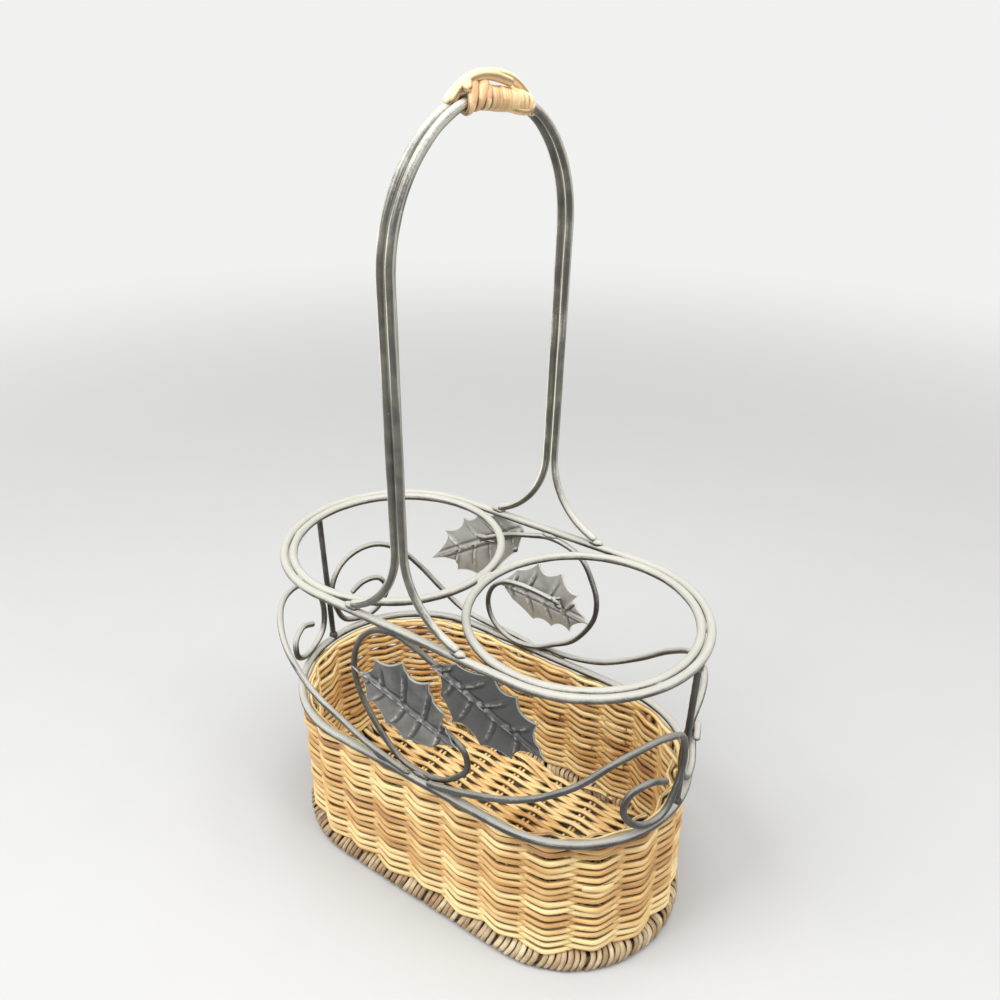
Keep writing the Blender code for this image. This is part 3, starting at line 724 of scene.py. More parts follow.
def fibre_finish(kind):
    """Willow, reed or rattan: colour patches along each strand, streak lines and fine grain lines that run
    with it, painted shade in the crevices at its sides and on its sides hidden in the weave, and a slight
    gloss."""
    name, patch_length, deep_colour, pale_colour, streak_colour, groove, rough_base, crevices = FIBRES[kind]
    base = tuple(getattr(bpy.context.scene.basket_colours, kind))
    if name in bpy.data.materials:
        return bpy.data.materials[name]
    finish = Finish(name, Metallic=0.0)
    tone = finish.field("tone")
    edge = finish.field("edge")
    rate = 1.0 / patch_length
    patch = finish.noise("fibre", (rate, 160.0, 160.0), 3.0, 0.55)
    streak = finish.noise("fibre", (rate * 2.5, 1100.0, 1100.0), 3.0, 0.6)
    grain = finish.noise("fibre", (rate * 5.0, 4200.0, 4200.0), 3.0, 0.65)
    spot = finish.noise("fibre", (320.0, 900.0, 900.0), 4.0, 0.6)
    region = finish.noise("Object", (22.0, 22.0, 30.0), 3.0, 0.5)
    place = tone * 0.42 + (patch - 0.5) * 1.25 + (region - 0.5) * 0.9 + 0.29
    strand = finish.ramp(
        place, (0.05, deep_colour), (0.30, tinted(base, 0.74, (1.06, 0.90, 0.78))), (0.52, base),
        (0.78, pale_colour))
    streaked = finish.mix(strand, streak_colour, streak.between(0.56, 0.74) * 0.55)
    lined = finish.mix(streaked, tinted(base, 0.45, (1.0, 0.85, 0.7)), grain.between(0.52, 0.72) * 0.35)
    lit = finish.mix(lined, pale_colour, grain.between(0.46, 0.30) * 0.35)
    spotted = finish.mix(lit, tinted(deep_colour, 0.6), spot.between(0.68, 0.76) * 0.6)
    # Painted shade: the crevices where rows meet and the sides hidden in the weave go towards deep brown
    dark = tinted(deep_colour, 0.13, (1.0, 0.8, 0.6))
    hidden = edge.between(0.76, 1.0) * crevices + finish.field("recess").between(0.05, 0.8) * 0.9
    crevice_shaded = finish.mix(spotted, dark, hidden.between(0.0, 0.95))
    rough = (grain - 0.5) * 0.35 + rough_base
    height = streak * 0.8 + grain * 0.6
    return finish.feed(Base_Color=crevice_shaded, Roughness=rough, Normal=finish.bump(height, groove, 0.7))


# Patch length, the deepest, palest and streak colours, groove depth, roughness and strength of the
# painted shade in the crevices, for bare golden willow, for weathered reed and for tan rattan
FIBRES = {
    "willow": (
        "golden_willow", 0.035, (0.33, 0.16, 0.065), (0.88, 0.68, 0.33), (0.36, 0.18, 0.10),
        0.00022, 0.52, 0.62),
    "reed": (
        "grey_reed", 0.012, (0.15, 0.09, 0.05), (0.70, 0.57, 0.37), (0.19, 0.115, 0.07),
        0.00035, 0.58, 1.0),
    "rattan": (
        "pale_rattan", 0.03, (0.40, 0.22, 0.11), (0.90, 0.72, 0.42), (0.48, 0.27, 0.14),
        0.00018, 0.45, 0.6),
}


# The welded frame

# How thick the rods of the arch and the end posts are, as shares of the rails' thickness
ROD_SLIMNESS = 0.94
POST_SLIMNESS = 0.74


def wire_piece(name, path, outward, thickness, closed, seed, kind="lower", taper=1.0):
    """One wire of the frame: a round section whose thickness swings a little along it."""
    unevenness = bpy.context.scene.basket_wires.unevenness
    rng = np.random.default_rng(seed)
    full = 1.0
    if not closed:
        path, full = rounded_ends(path, thickness)
        full = full * taper
    turn = np.linspace(0.0, 1.0, path.shape[1], endpoint=not closed)
    size = full * thickness * (1 + unevenness * ripple(rng, 1, turn, (3, 7, 16, 29)))
    shape = strands(path, outward, size, size, sides=14, closed=closed)
    return add_piece(name + "_wire", shape, frame_finish(kind), "blackened_iron", name)


def rail_path(reach, half_width, height, count):
    """A level loop of two straights and two half circles."""
    run = loop_length(reach, half_width) * np.arange(count) / count
    place, outward = on_loop(run, reach, half_width)
    return np.concatenate([place, np.full((count, 1), height)], axis=1)[None], outward


class BASKET_OT_rails(Operator):
    """Makes the two rails, the two bottle rings and the two end posts"""

    bl_idname = "basket.rails"
    bl_label = "Rails, rings and posts"

    def execute(self, context):
        thickness = context.scene.basket_wires.thickness
        upper, _ = rail_path(UPPER_REACH, UPPER_HALF_WIDTH, UPPER_RAIL_HEIGHT, 300)
        lower, _ = rail_path(LOWER_REACH, LOWER_HALF_WIDTH, LOWER_RAIL_HEIGHT, 300)
        # The upper rail and the rings take a more lit copy of the iron than the lower rail: painted light
        wire_piece("upper_rail", upper, UPWARDS, thickness, True, 11, "upper")
        wire_piece("lower_rail", lower, UPWARDS, thickness, True, 12, "rail")
        turn = FULL_TURN * np.arange(160) / 160
        for side, label in ((-1, "left"), (1, "right")):
            ring = np.stack([
                side * UPPER_REACH + RING_RADIUS * np.cos(turn), RING_RADIUS * np.sin(turn),
                np.full(160, UPPER_RAIL_HEIGHT)], axis=-1)[None]
            wire_piece("bottle_ring_" + label, ring, UPWARDS, thickness, True, 13 + side, "upper")
            foot = np.array((side * (LOWER_REACH + LOWER_HALF_WIDTH), 0.0, LOWER_RAIL_HEIGHT + WIRE * 0.4))
            head = np.array((side * (UPPER_REACH + UPPER_HALF_WIDTH), 0.0, UPPER_RAIL_HEIGHT - WIRE * 0.4))
            post = (foot + (head - foot) * np.linspace(0.0, 1.0, 40)[:, None])[None]
            out = np.array((1.0, 0.0, 0.0))
            wire_piece("end_post_" + label, post, out, thickness * POST_SLIMNESS, False, 16 + side)
        return {"FINISHED"}


def handle_middle(height):
    """Where the two rods meet at a height: the arch leans a little along the basket."""
    share = (height - UPPER_RAIL_HEIGHT) / (HANDLE_TOP - UPPER_RAIL_HEIGHT)
    return FOOT_SHIFT + HANDLE_LEAN * share


FOOT_LANDING = 0.1603


def handle_path(side):
    """One rod from its front foot over the arch to its back foot, and the direction out of the arch.
    A foot is a cubic curve from the rail to the split, the leg is straight, and the arch is half an
    ellipse."""
    share = np.linspace(0.0, 1.0, 26)
    drop = SPLIT_HEIGHT - FOOT_LANDING
    spread = FOOT_SPREAD * (1.5 * (1 - share) ** 2 * share + (1 - share) ** 3)
    spread += LEG_OFFSET * (3 - 2 * share) * share**2
    height = FOOT_LANDING + drop * (share**3 + 1.5 * share**2 * (1 - share) + 0.39 * share * (1 - share) ** 2)
    foot = np.stack([spread, blend(UPPER_HALF_WIDTH, HANDLE_HALF_WIDTH, 0.3 * share), height], axis=-1)
    climb = np.linspace(0.0, 1.0, 26)[1:-1, None]
    shoulder = np.array((LEG_OFFSET, HANDLE_HALF_WIDTH, HANDLE_SHOULDER))
    leg = foot[-1] + (shoulder - foot[-1]) * climb
    angle = np.linspace(0.0, math.pi / 2, 40)
    arch = np.stack([
        np.full(40, LEG_OFFSET), HANDLE_HALF_WIDTH * np.cos(angle),
        HANDLE_SHOULDER + ARCH_RISE * np.sin(angle)], axis=-1)
    half = np.concatenate([foot, leg, arch])
    out = np.concatenate([
        np.tile((0.0, 1.0, 0.0), (len(foot) + len(leg), 1)),
        np.stack([np.zeros(40), np.cos(angle), np.sin(angle)], axis=-1)])
    path = np.concatenate([half * (1, -1, 1), half[-2::-1]])
    outward = np.concatenate([out * (1, -1, 1), out[-2::-1]])
    path[:, 0] = side * path[:, 0] + handle_middle(path[:, 2])
    path[:, 2] -= np.where(path[:, 2] > HANDLE_SHOULDER, flattened(path[:, 1]), 0.0)
    return path[None], outward


class BASKET_OT_handle(Operator):
    """Makes the two rods of the carrying arch"""

    bl_idname = "basket.handle"
    bl_label = "Carrying arch"

    def execute(self, context):
        thickness = context.scene.basket_wires.thickness
        for side, label in ((-1, "left"), (1, "right")):
            path, outward = handle_path(side)
            wire_piece(
                "handle_rod_" + label, path, padded_ends(outward), thickness * ROD_SLIMNESS, False, 21 + side,
                "rods")
        return {"FINISHED"}


def side_signs(name):
    """1 or -1 along X and Y for a piece that is named for its side."""
    return 1 if name.endswith("right") else -1, -1 if "front" in name else 1


def scroll_path(shares, side_x, side_y):
    """A scroll on the upright band between the rails, and the direction out of the band."""
    post_clearance = (WIRE + SCROLL_WIRE) / 2 + GAP
    foot = LOWER_RAIL_HEIGHT + post_clearance
    head = UPPER_RAIL_HEIGHT - post_clearance
    rail_gap = UPPER_RAIL_HEIGHT - LOWER_RAIL_HEIGHT

    def band(height):
        rise = (height - LOWER_RAIL_HEIGHT) / rail_gap
        reach = blend(LOWER_REACH, UPPER_REACH, rise)
        return reach, blend(LOWER_HALF_WIDTH, UPPER_HALF_WIDTH, rise) + SCROLL_OUTSET

    along, up, out = np.array(shares).T
    height = blend(foot, head, up)
    reach, half_width = band(height)
    run = along * (reach + half_width * math.pi / 2 - post_clearance)
    run, height, out = smooth(np.stack([run, height, out * SCROLL_BULGE], axis=-1), 8).T
    reach, half_width = band(height)
    turn = np.maximum(run - reach, 0.0) / half_width
    x = np.minimum(run, reach) + (half_width + out) * np.sin(turn)
    y = (half_width + out) * np.cos(turn)
    path = np.stack([side_x * x, side_y * y, height], axis=-1)
    outward = np.stack([side_x * np.sin(turn), side_y * np.cos(turn), np.zeros(len(turn))], axis=-1)
    return path[None], outward


# How far the flat end of each scroll runs out on the lower rail, flattened and welded down
SCROLL_TAILS = {
    "scroll_front_right": 0.006, "scroll_front_left": 0.009, "scroll_back_left": 0.016,
    "scroll_back_right": 0.008}


def with_tail(path, outward, length):
    """A scroll with a straight tail before its first point, the directions out of the band, and the
    share of the full section. The tail sinks onto the rail and thins towards its end."""
    share = np.linspace(1.0, 0.0, 12, endpoint=False)[:, None]
    back = unit(path[0, 0] - path[0, 1]) * (1.0, 1.0, 0.0)
    tail = path[0, 0] + back * length * share - (0.0, 0.0, 0.0013) * ease(share)
    path = np.concatenate([tail[None], path], axis=1)
    outward = np.concatenate([np.repeat(outward[:1], 12, axis=0), outward])
    taper = np.ones(path.shape[1] + 2)
    taper[1:13] = blend(1.0, 0.5, ease((share[:, 0] - 0.6) / 0.4))
    taper[0] = taper[1]
    return path, outward, taper


class BASKET_OT_scrolls(Operator):
    """Makes the four scrolls between the rails"""

    bl_idname = "basket.scrolls"
    bl_label = "Scrolls"

    def execute(self, context):
        thickness = context.scene.basket_wires.scroll_thickness
        for number, (name, shares) in enumerate(SCROLL_SHARES.items()):
            path, outward = scroll_path(shares, *side_signs(name))
            path, outward, taper = with_tail(path, outward, SCROLL_TAILS[name])
            wire_piece(name, path, padded_ends(outward), thickness, False, 31 + number, taper=taper)
        return {"FINISHED"}


class BASKET_OT_leaf_wires(Operator):
    """Makes the bent wires that carry the leaves"""

    bl_idname = "basket.leaf_wires"
    bl_label = "Leaf wires"

    def execute(self, context):
        thickness = context.scene.basket_wires.leaf_wire_thickness
        contact = (WIRE + LEAF_WIRE) / 2 + GAP
        line = LOWER_HALF_WIDTH - LEAF_WIRE_INSET
        foot = LOWER_RAIL_HEIGHT + math.sqrt(contact**2 - LEAF_WIRE_INSET**2)
        head = UPPER_RAIL_HEIGHT - math.sqrt(contact**2 - (UPPER_HALF_WIDTH - line) ** 2)
        for number, (name, shares) in enumerate(LEAF_WIRE_SHARES.items()):
            _, side_y = side_signs(name)
            along, up = np.array(shares).T
            height = blend(foot, head, up)
            knots = np.stack([along * UPPER_REACH, np.full(len(along), side_y * line), height], axis=-1)
            path = smooth(knots, 8)[None]
            wire_piece(name, path, np.array((0.0, float(side_y), 0.0)), thickness, False, 41 + number)
        return {"FINISHED"}


# Welds of the back leaves on their stems: place along and up, slope, length and thickness
STEM_WELDS = (
    (-0.0405, 0.1400, 0.1, 0.0075, 0.0030), (-0.0365, 0.1392, 0.1, 0.0085, 0.0020),
    (-0.0195, 0.1394, 0.9, 0.0032, 0.0026), (0.0058, 0.1180, -0.5, 0.0055, 0.0036),
    (0.0070, 0.1160, -0.6, 0.0050, 0.0030), (0.0065, 0.1195, 0.6, 0.0055, 0.0018),
)


# Weld beads: length and thickness of each kind, and where round a bottle ring it meets its rail
POST_FOOT_BEAD = (0.0050, 0.0045)
POST_HEAD_BEAD = (0.0050, 0.0044)
RING_BEAD = (0.007, 0.0030)
ROD_FOOT_BEAD = (0.0080, 0.0038)
RING_PAIR_BEAD = (0.011, 0.0032)
SCROLL_BEAD = (0.009, 0.0030)
LEAF_FOOT_BEAD = (0.010, 0.0030)
LEAF_HEAD_BEAD = (0.009, 0.0029)
RING_BEAD_TURNS = (-1.25, -0.42, 0.5, 1.2)
ALONG, SQUARE, UPRIGHT = (1, 0, 0), (0, 1, 0), (0, 0, 1)


def weld_places():
    """Beads where wires meet, as centre, direction, length and thickness."""
    beads = []
    radius = RING_RADIUS + WIRE / 2
    for side in (-1, 1):
        foot = (side * (LOWER_REACH + LOWER_HALF_WIDTH), 0.0, LOWER_RAIL_HEIGHT + WIRE * 0.45)
        head = (side * (UPPER_REACH + UPPER_HALF_WIDTH), 0.0, UPPER_RAIL_HEIGHT - WIRE * 0.5)
        beads += [(foot, UPRIGHT, *POST_FOOT_BEAD), (head, UPRIGHT, *POST_HEAD_BEAD)]
        for turn in RING_BEAD_TURNS:
            x = side * (UPPER_REACH + radius * math.cos(turn))
            place = (x, radius * math.sin(turn), UPPER_RAIL_HEIGHT - 0.0009)
            beads.append((place, (side * -math.sin(turn), math.cos(turn), 0.0), *RING_BEAD))
        for front in (-1, 1):
            foot = (side * FOOT_SPREAD + FOOT_SHIFT, front * UPPER_HALF_WIDTH, FOOT_LANDING - 0.0012)
            beads.append((foot, ALONG, *ROD_FOOT_BEAD))
    beads.append(((0.0, 0.0, UPPER_RAIL_HEIGHT), SQUARE, *RING_PAIR_BEAD))
    for name, shares in SCROLL_SHARES.items():
        path = scroll_path(shares, *side_signs(name))[0][0]
        touch = path[4] - (0.0, 0.0, SCROLL_WIRE / 2)
        beads.append((tuple(touch), tuple(unit(path[6] - path[2])), *SCROLL_BEAD))
    line = LOWER_HALF_WIDTH - LEAF_WIRE_INSET
    for side_y, foot_x, head_x in ((-1, 0.07, -0.15), (1, -0.30, 0.02)):
        foot = (foot_x * UPPER_REACH, side_y * (line + 0.0008), LOWER_RAIL_HEIGHT + 0.0021)
        head = (head_x * UPPER_REACH, side_y * line, UPPER_RAIL_HEIGHT - 0.0022)
        beads += [(foot, ALONG, *LEAF_FOOT_BEAD), (head, ALONG, *LEAF_HEAD_BEAD)]
    for x, z, lean, length, size in STEM_WELDS:
        beads.append(((x, line, z), (1, 0, lean), length, size))
    return beads


class BASKET_OT_welds(Operator):
    """Makes the weld beads where the wires meet"""

    bl_idname = "basket.welds"
    bl_label = "Weld beads"

    def execute(self, context):
        beads = weld_places()
        rng = np.random.default_rng(51)
        centre = np.array([bead[0] for bead in beads])
        direction = unit(np.array([bead[1] for bead in beads], float))
        length = np.array([bead[2] for bead in beads])[:, None]
        size = np.array([bead[3] for bead in beads])[:, None]
        share = np.linspace(-1.0, 1.0, 11)[None]
        path = centre[:, None] + direction[:, None] * (share * length / 2)[..., None]
        swell = np.sqrt(np.maximum(1 - np.abs(share) ** 2.2, 0.02))
        lumps = 1 + 0.10 * ripple(rng, len(beads), (share + 1) / 2, (2, 5))
        reference = np.where(np.abs(direction[:, 2:]) > 0.7, (1.0, 0.0, 0.0), (0.0, 0.0, 1.0))
        deep, wide = size * swell * lumps, size * swell * (2 - lumps)
        high = centre[:, 2] > UPPER_RAIL_HEIGHT - WIRE
        # Beads high on the frame take the more lit copy of the iron of the upper wires: painted light
        for name, kind, part in (("weld_beads", "lower", ~high), ("top_weld_beads", "upper", high)):
            shape = strands(path[part], reference[part][:, None], deep[part], wide[part], sides=12)
            add_piece(name, shape, frame_finish(kind), "blackened_iron")
        return {"FINISHED"}


def leaf_edge(knots):
    """Places on the outline of one half of a leaf, from its base to its tip, and the numbers of the
    spines. Between spines A and B a scallop runs through the hollow H:
    (1 - t)^2 A + 2 t (1 - t) C + t^2 B, with C = 2 H - (A + B) / 2."""
    spines = np.array([(0.0, 0.0), *knots[1::2], (1.0, 0.0)])
    hollows = np.array(knots[0::2])
    t = (np.arange(SCALLOP_STEPS) / SCALLOP_STEPS)[None, :, None]
    here, there = spines[:-1, None], spines[1:, None]
    pull = 2 * hollows[:, None] - (here + there) / 2
    edge = ((1 - t) ** 2 * here + 2 * t * (1 - t) * pull + t**2 * there).reshape(-1, 2)
    return np.concatenate([edge, spines[-1:]]), SCALLOP_STEPS * np.arange(1, len(spines) - 1)


def ridge(distance, width):
    """A rounded ridge, 1 at its middle: exp(-(distance / width)^2)."""
    return np.exp(-((distance / width) ** 2))


def leaf_half(knots, length, tone, lean):
    """One half of a pressed holly leaf, as places along the midrib and away from it, the relief out of
    the leaf's plane, and what its finish reads.

    A place is M + t (P - M), with P on the outline and M on the midrib at the share of the outline's
    run so far to the power of the lean: above 1 the side veins lean towards the tip. The relief is a
    midrib and a side vein to each spine, as ridges with a groove below, and a soft swelling between."""
    edge, spines = leaf_edge(knots)
    run = np.r_[0.0, np.cumsum(np.linalg.norm(np.diff(edge, axis=0), axis=1))]
    foot = np.stack([(run / run[-1]) ** lean, np.zeros(len(run))], axis=-1)
    t = (np.sin(np.linspace(-0.5, 0.5, 30) * math.pi) * 0.5 + 0.5)[None, :, None]
    place = (foot[:, None] + t * (edge - foot)[:, None]) * length
    t = t[..., 0]
    midrib = ridge(place[..., 1], MIDRIB_WIDTH) * (1 - 0.5 * place[..., 0] / length)
    start = foot[spines] * length
    vein_run = (edge[spines] - foot[spines]) * length
    reach = np.linalg.norm(vein_run, axis=1)
    along = vein_run / reach[:, None]
    away = place[:, :, None] - start
    share = np.clip((away * along).sum(axis=-1) / reach, 0.0, 1.0)
    bow = 0.05 * reach * np.sin(math.pi * share)
    off = away[..., 0] * along[:, 1] - away[..., 1] * along[:, 0] - bow
    strength = 1 - ease((share - 0.55) / 0.4)
    vein = (ridge(off, VEIN_WIDTH) * strength).max(axis=-1)
    groove = (ridge(off - 1.9 * VEIN_WIDTH, 0.7 * VEIN_WIDTH) * strength * ease(share / 0.08)).max(axis=-1)
    groove = np.maximum(groove, ridge(place[..., 1] - 1.7 * MIDRIB_WIDTH, 0.6 * MIDRIB_WIDTH) * 0.8)
    between = np.abs(np.sin(math.pi * np.arange(len(edge)) / SCALLOP_STEPS))[:, None]
    swell = between * np.sin(math.pi * t**0.8)
    relief = VEIN_HEIGHT * np.maximum(midrib, vein) - GROOVE_DEPTH * groove + SWELL_HEIGHT * swell
    relief -= EDGE_DROP * (place[..., 1] / (0.35 * length)) ** 2
    rim = np.clip((t - 0.955) * 30, 0.0, 1.0) * np.ones_like(vein)
    fields = {
        "vein": np.maximum(midrib, vein), "groove": groove, "edge": rim, "tone": tone + 0.0 * vein,
        "fibre": np.concatenate([place, relief[..., None]], axis=-1)}
    return place, relief, fields


def leaf_shape(leaf, side_y):
    """A pressed holly leaf: two halves that meet at the midrib, each a closed thin skin. The relief
    stands out to the front on all four."""
    (base_x, base_z), (tip_x, tip_z), tones, leans, *halves = leaf
    low = LOWER_RAIL_HEIGHT + WIRE / 2
    high = UPPER_RAIL_HEIGHT - SEAT
    base = np.array((base_x * UPPER_REACH, blend(low, high, base_z)))
    rib = np.array((tip_x * UPPER_REACH, blend(low, high, tip_z))) - base
    length = float(np.linalg.norm(rib))
    along = rib / length
    across = np.array((-along[1], along[0])) * np.sign(along[0])
    line = LOWER_HALF_WIDTH - LEAF_WIRE_INSET + (LEAF_WIRE + LEAF_THICKNESS) / 2 + GAP + LEAF_CLEARANCE
    shapes = []
    for sign, tone, lean, knots in zip((1, -1), tones, leans, halves):
        place, relief, fields = leaf_half(knots, length, tone, lean)
        flat = base + place[..., :1] * along + sign * place[..., 1:] * across
        bend = LEAF_BEND * (place[..., 0] / length - 0.4) ** 2
        skins = [
            np.stack([flat[..., 0], side_y * (line - bend + half) - relief, flat[..., 1]], axis=-1)
            for half in (LEAF_THICKNESS / 2, -LEAF_THICKNESS / 2)]
        points = np.concatenate([skins[0], skins[1][:, ::-1]], axis=1)[None]
        fields = {
            name: np.concatenate([field, field[:, ::-1]], axis=1)[None] for name, field in fields.items()}
        shape = skin(points, fields, False)
        shapes.append(shape if enclosed(shape) > 0 else turned(shape))
    return join(*shapes)


def enclosed(shape):
    """Six times the volume inside a shape's four-sided faces, below zero where they face inwards."""
    quads = shape["points"][shape["corners"][:4 * int((shape["sizes"] == 4).sum())].reshape(-1, 4)]
    a, b, c, d = np.moveaxis(quads - shape["points"].mean(axis=0), 1, 0)
    return float((a * (np.cross(b, c) + np.cross(c, d))).sum())


def turned(shape):
    """The shape with every face turned over, by reading its corners the other way round."""
    ends = np.cumsum(shape["sizes"])
    starts = ends - shape["sizes"]
    owner = np.repeat(np.arange(len(ends)), shape["sizes"])
    order = starts[owner] + ends[owner] - 1 - np.arange(len(shape["corners"]))
    fields = {name: values[order] for name, values in shape["fields"].items()}
    return {**shape, "corners": shape["corners"][order], "fields": fields}


class BASKET_OT_leaves(Operator):
    """Makes the four pressed holly leaves"""

    bl_idname = "basket.leaves"
    bl_label = "Holly leaves"

    def execute(self, context):
        finish = leaf_finish()
        for name, leaf in LEAVES.items():
            shape = leaf_shape(leaf, side_signs(name)[1])
            add_piece(name + "_sheet", shape, finish, "charcoal_sheet_metal", name)
        return {"FINISHED"}


# The woven basket

TUCK_RIGHT = 0.0012
LEAN_RIGHT = 0.0018
BELLY_LEFT = 0.0002
TUCK_LEFT = 0.0014
BEND_SHARPNESS = 0.972

# Where one weaver ends and the next begins, in stakes along the spiral: at odd numbers they lie inside
# the basket, and at an even one outside
WEAVER_JOINTS = (13, 75, 133, 197, 243, 285, 311, 385, 437, 485, 504, 559, 585, 641, 703, 755, 805)
POINTS_PER_STAKE = 10

# How far a weaver sways out of the wall and up and down, how unevenly it lies where it bends, and how
# far its ends stand off the wall and lie apart in height
OUT_RIPPLE = 0.0002
HEIGHT_RIPPLE = 0.00012
BEND_UNEVENNESS = 0.00026
END_STAND_OFF = 0.0012
END_OFFSET = 0.0006


def on_wall(run, out, height):
    """Places on the wall at a run along its middle line, a distance out of it and a height, and the
    direction out. The wall stands further in at both ends, and at the right end its top most."""
    place, outward = on_loop(run, WALL_REACH, WALL_HALF_WIDTH)
    share = np.clip((height - BORDER_SIZE) / (LOWER_RAIL_HEIGHT - BORDER_SIZE), 0.0, 1.0)
    right = ease((place[..., 0] - 0.03) / 0.06)
    left = ease((-place[..., 0] - 0.03) / 0.06)
    out = out + BELLY_LEFT * left * np.sin(math.pi * share) - TUCK_LEFT * left
    out = out - (TUCK_RIGHT + LEAN_RIGHT * share**2) * right
    return standing(place, outward, out, height)


def stake_run(number, stakes):
    """The run along the wall at a stake's number. The stakes stand about a millimetre further apart in
    the front right and back left quarters than in the other two."""
    drift = STAKE_DRIFT * np.sin(2 * FULL_TURN * (number - STAKE_DRIFT_START) / stakes)
    return FIRST_STAKE_RUN + number * loop_length(WALL_REACH, WALL_HALF_WIDTH) / stakes + drift


def weave_wave(number):
    """A swing that is 1 at even stakes and -1 at odd ones, straight between them and bent round each:
    arcsin(k cos(pi n)) / arcsin(k), with k the sharpness of the bend."""
    return np.arcsin(BEND_SHARPNESS * np.cos(math.pi * number)) / math.asin(BEND_SHARPNESS)


def bunched(number):
    """Even numbers moved closer to the nearest whole one, where the weave bends:
    n + s (0.4 + 2.4 s^2), with s from -0.5 to 0.5."""
    share = number - np.round(number)
    return np.round(number) + share * (0.4 + 2.4 * share**2)


def wall_weaver(index, start, end, weave, rng, uneven):
    """One weaver of the wall, from a little before one stake to a little past another. Its ends stand
    off the wall, and its section is tallest where it bends."""
    steps = int((end - start + 0.8) * POINTS_PER_STAKE)
    number = bunched(np.linspace(start - 0.4, end + 0.4, steps))[None]
    turn = number / weave.stakes
    whole = np.round(number).astype(int) - WEAVER_JOINTS[0] + 1
    near = np.cos(math.pi * (number - np.round(number))) ** 2
    wave = weave_wave(number)
    before = ease((start + 0.3 - number) / 0.7)
    after = ease((number - end + 0.3) / 0.7)
    sway = OUT_RIPPLE * ripple(rng, 1, turn, (2.1, 5.3, 9.2))
    out = weave.swing * wave * (1 + 0.10 * uneven[0, whole]) + sway
    out = out + np.sign(wave) * END_STAND_OFF * (before + after)
    height = WALL_FOOT + weave.row_pitch * (turn - WEAVER_JOINTS[0] / weave.stakes)
    rise = HEIGHT_RIPPLE * ripple(rng, 1, turn, (1.1, 3.2, 6.9))
    height = np.minimum(height, WALL_TOP) + BEND_UNEVENNESS * uneven[1, whole] * near + rise
    height = height + END_OFFSET * (before - after)
    path, outward = on_wall(stake_run(number, weave.stakes), out, height)
    bulk = 1 + 0.07 * ripple(rng, 1, turn, (1.3, 4.1, 11.7, 23.3))
    tall = blend(weave.weaver_height, weave.bend_height * (1 + 0.08 * uneven[2, whole]), near**1.5) * bulk
    deep = weave.weaver_depth * (2 - bulk)
    # The swing lets the finish paint shade on the side hidden in the weave
    return strands(
        path, outward, deep, tall, sides=8, tone=rng.uniform(0.0, 1.0), swing=wave, number=index)


class BASKET_OT_wall(Operator):
    """Weaves the wall: stakes, and one weaver after another in a rising spiral in and out between them"""

    bl_idname = "basket.wall"
    bl_label = "Woven wall"

    def execute(self, context):
        weave = context.scene.basket_weave
        rng = np.random.default_rng(61)
        uneven = rng.normal(0.0, 1.0, (3, WEAVER_JOINTS[-1] - WEAVER_JOINTS[0] + 4))
        weavers = [
            wall_weaver(index, start, end, weave, rng, uneven)
            for index, (start, end) in enumerate(zip(WEAVER_JOINTS[:-1], WEAVER_JOINTS[1:]))]
        finish = fibre_finish("willow")
        add_piece("wall_weavers", join(*weavers), finish, "golden_wicker", "wicker_wall")

        stake = np.arange(weave.stakes)[:, None]
        share = np.linspace(0.0, 1.0, 14)[None]
        run = stake_run(stake, weave.stakes) + 0.0003 * ripple(rng, weave.stakes, share, (1, 2))
        height = blend(0.0035, LOWER_RAIL_HEIGHT - WIRE * 0.7, share) + np.zeros_like(run)
        path, outward = on_wall(run, 0.0002 * ripple(rng, weave.stakes, share, (1, 3)), height)
        path, full = rounded_ends(path, weave.stake_size)
        outward = np.concatenate([outward[:, :1], outward, outward[:, -1:]], axis=1)
        size = weave.stake_size * full
        tone = rng.uniform(0.0, 0.6, weave.stakes)
        # A swing of -0.6 paints shade on each stake's outer side, behind the weavers
        shape = strands(path, outward, size, size, sides=8, tone=tone, swing=-0.6)
        add_piece("wall_stakes", shape, finish, "golden_wicker")
        return {"FINISHED"}


class BASKET_OT_rim(Operator):
    """Lays the pale strands on the top of the wall, inside the lower rail"""

    bl_idname = "basket.rim"
    bl_label = "Rim strands"

    def execute(self, context):
        rng = np.random.default_rng(71)
        count = 5
        span = 1.0 / count + 0.035
        share = np.linspace(0.0, 1.0, 120)[None]
        start = (np.arange(count)[:, None] + rng.uniform(-0.05, 0.05, (count, 1))) / count
        turn = start + share * span
        rim_half_width = LOWER_HALF_WIDTH - SEAT - 0.0009
        run = turn * loop_length(LOWER_REACH, rim_half_width)
        place, outward = on_loop(run, LOWER_REACH, rim_half_width)
        lap = ease((share - 0.80) / 0.2)
        tuck = ease((0.15 - share) / 0.15)
        out = 0.0004 * ripple(rng, count, share, (2, 5)) - 0.0014 * tuck + 0.0008 * lap
        height = LOWER_RAIL_HEIGHT - 0.0022 + 0.0004 * ripple(rng, count, share, (3, 7)) + 0.0006 * lap
        height = height - 0.0010 * tuck
        right = ease((place[..., 0] - 0.070) / 0.020)
        out = out + 0.0006 * right
        height = height + 0.0010 * right
        path, level = standing(place, outward, out, height)
        taper = np.minimum(np.minimum(share / 0.10, (1 - share) / 0.14), 1.0) ** 0.6
        size = 0.0028 * (0.25 + 0.75 * taper) * (1 + 0.25 * right)
        deep = size * (1 + 0.3 * right)
        shape = strands(path, level, deep, size * 0.9, sides=8, tone=rng.uniform(0.8, 1.25, count))
        add_piece("rim_strands", shape, fibre_finish("willow"), "golden_wicker", "rim_strand")
        return {"FINISHED"}


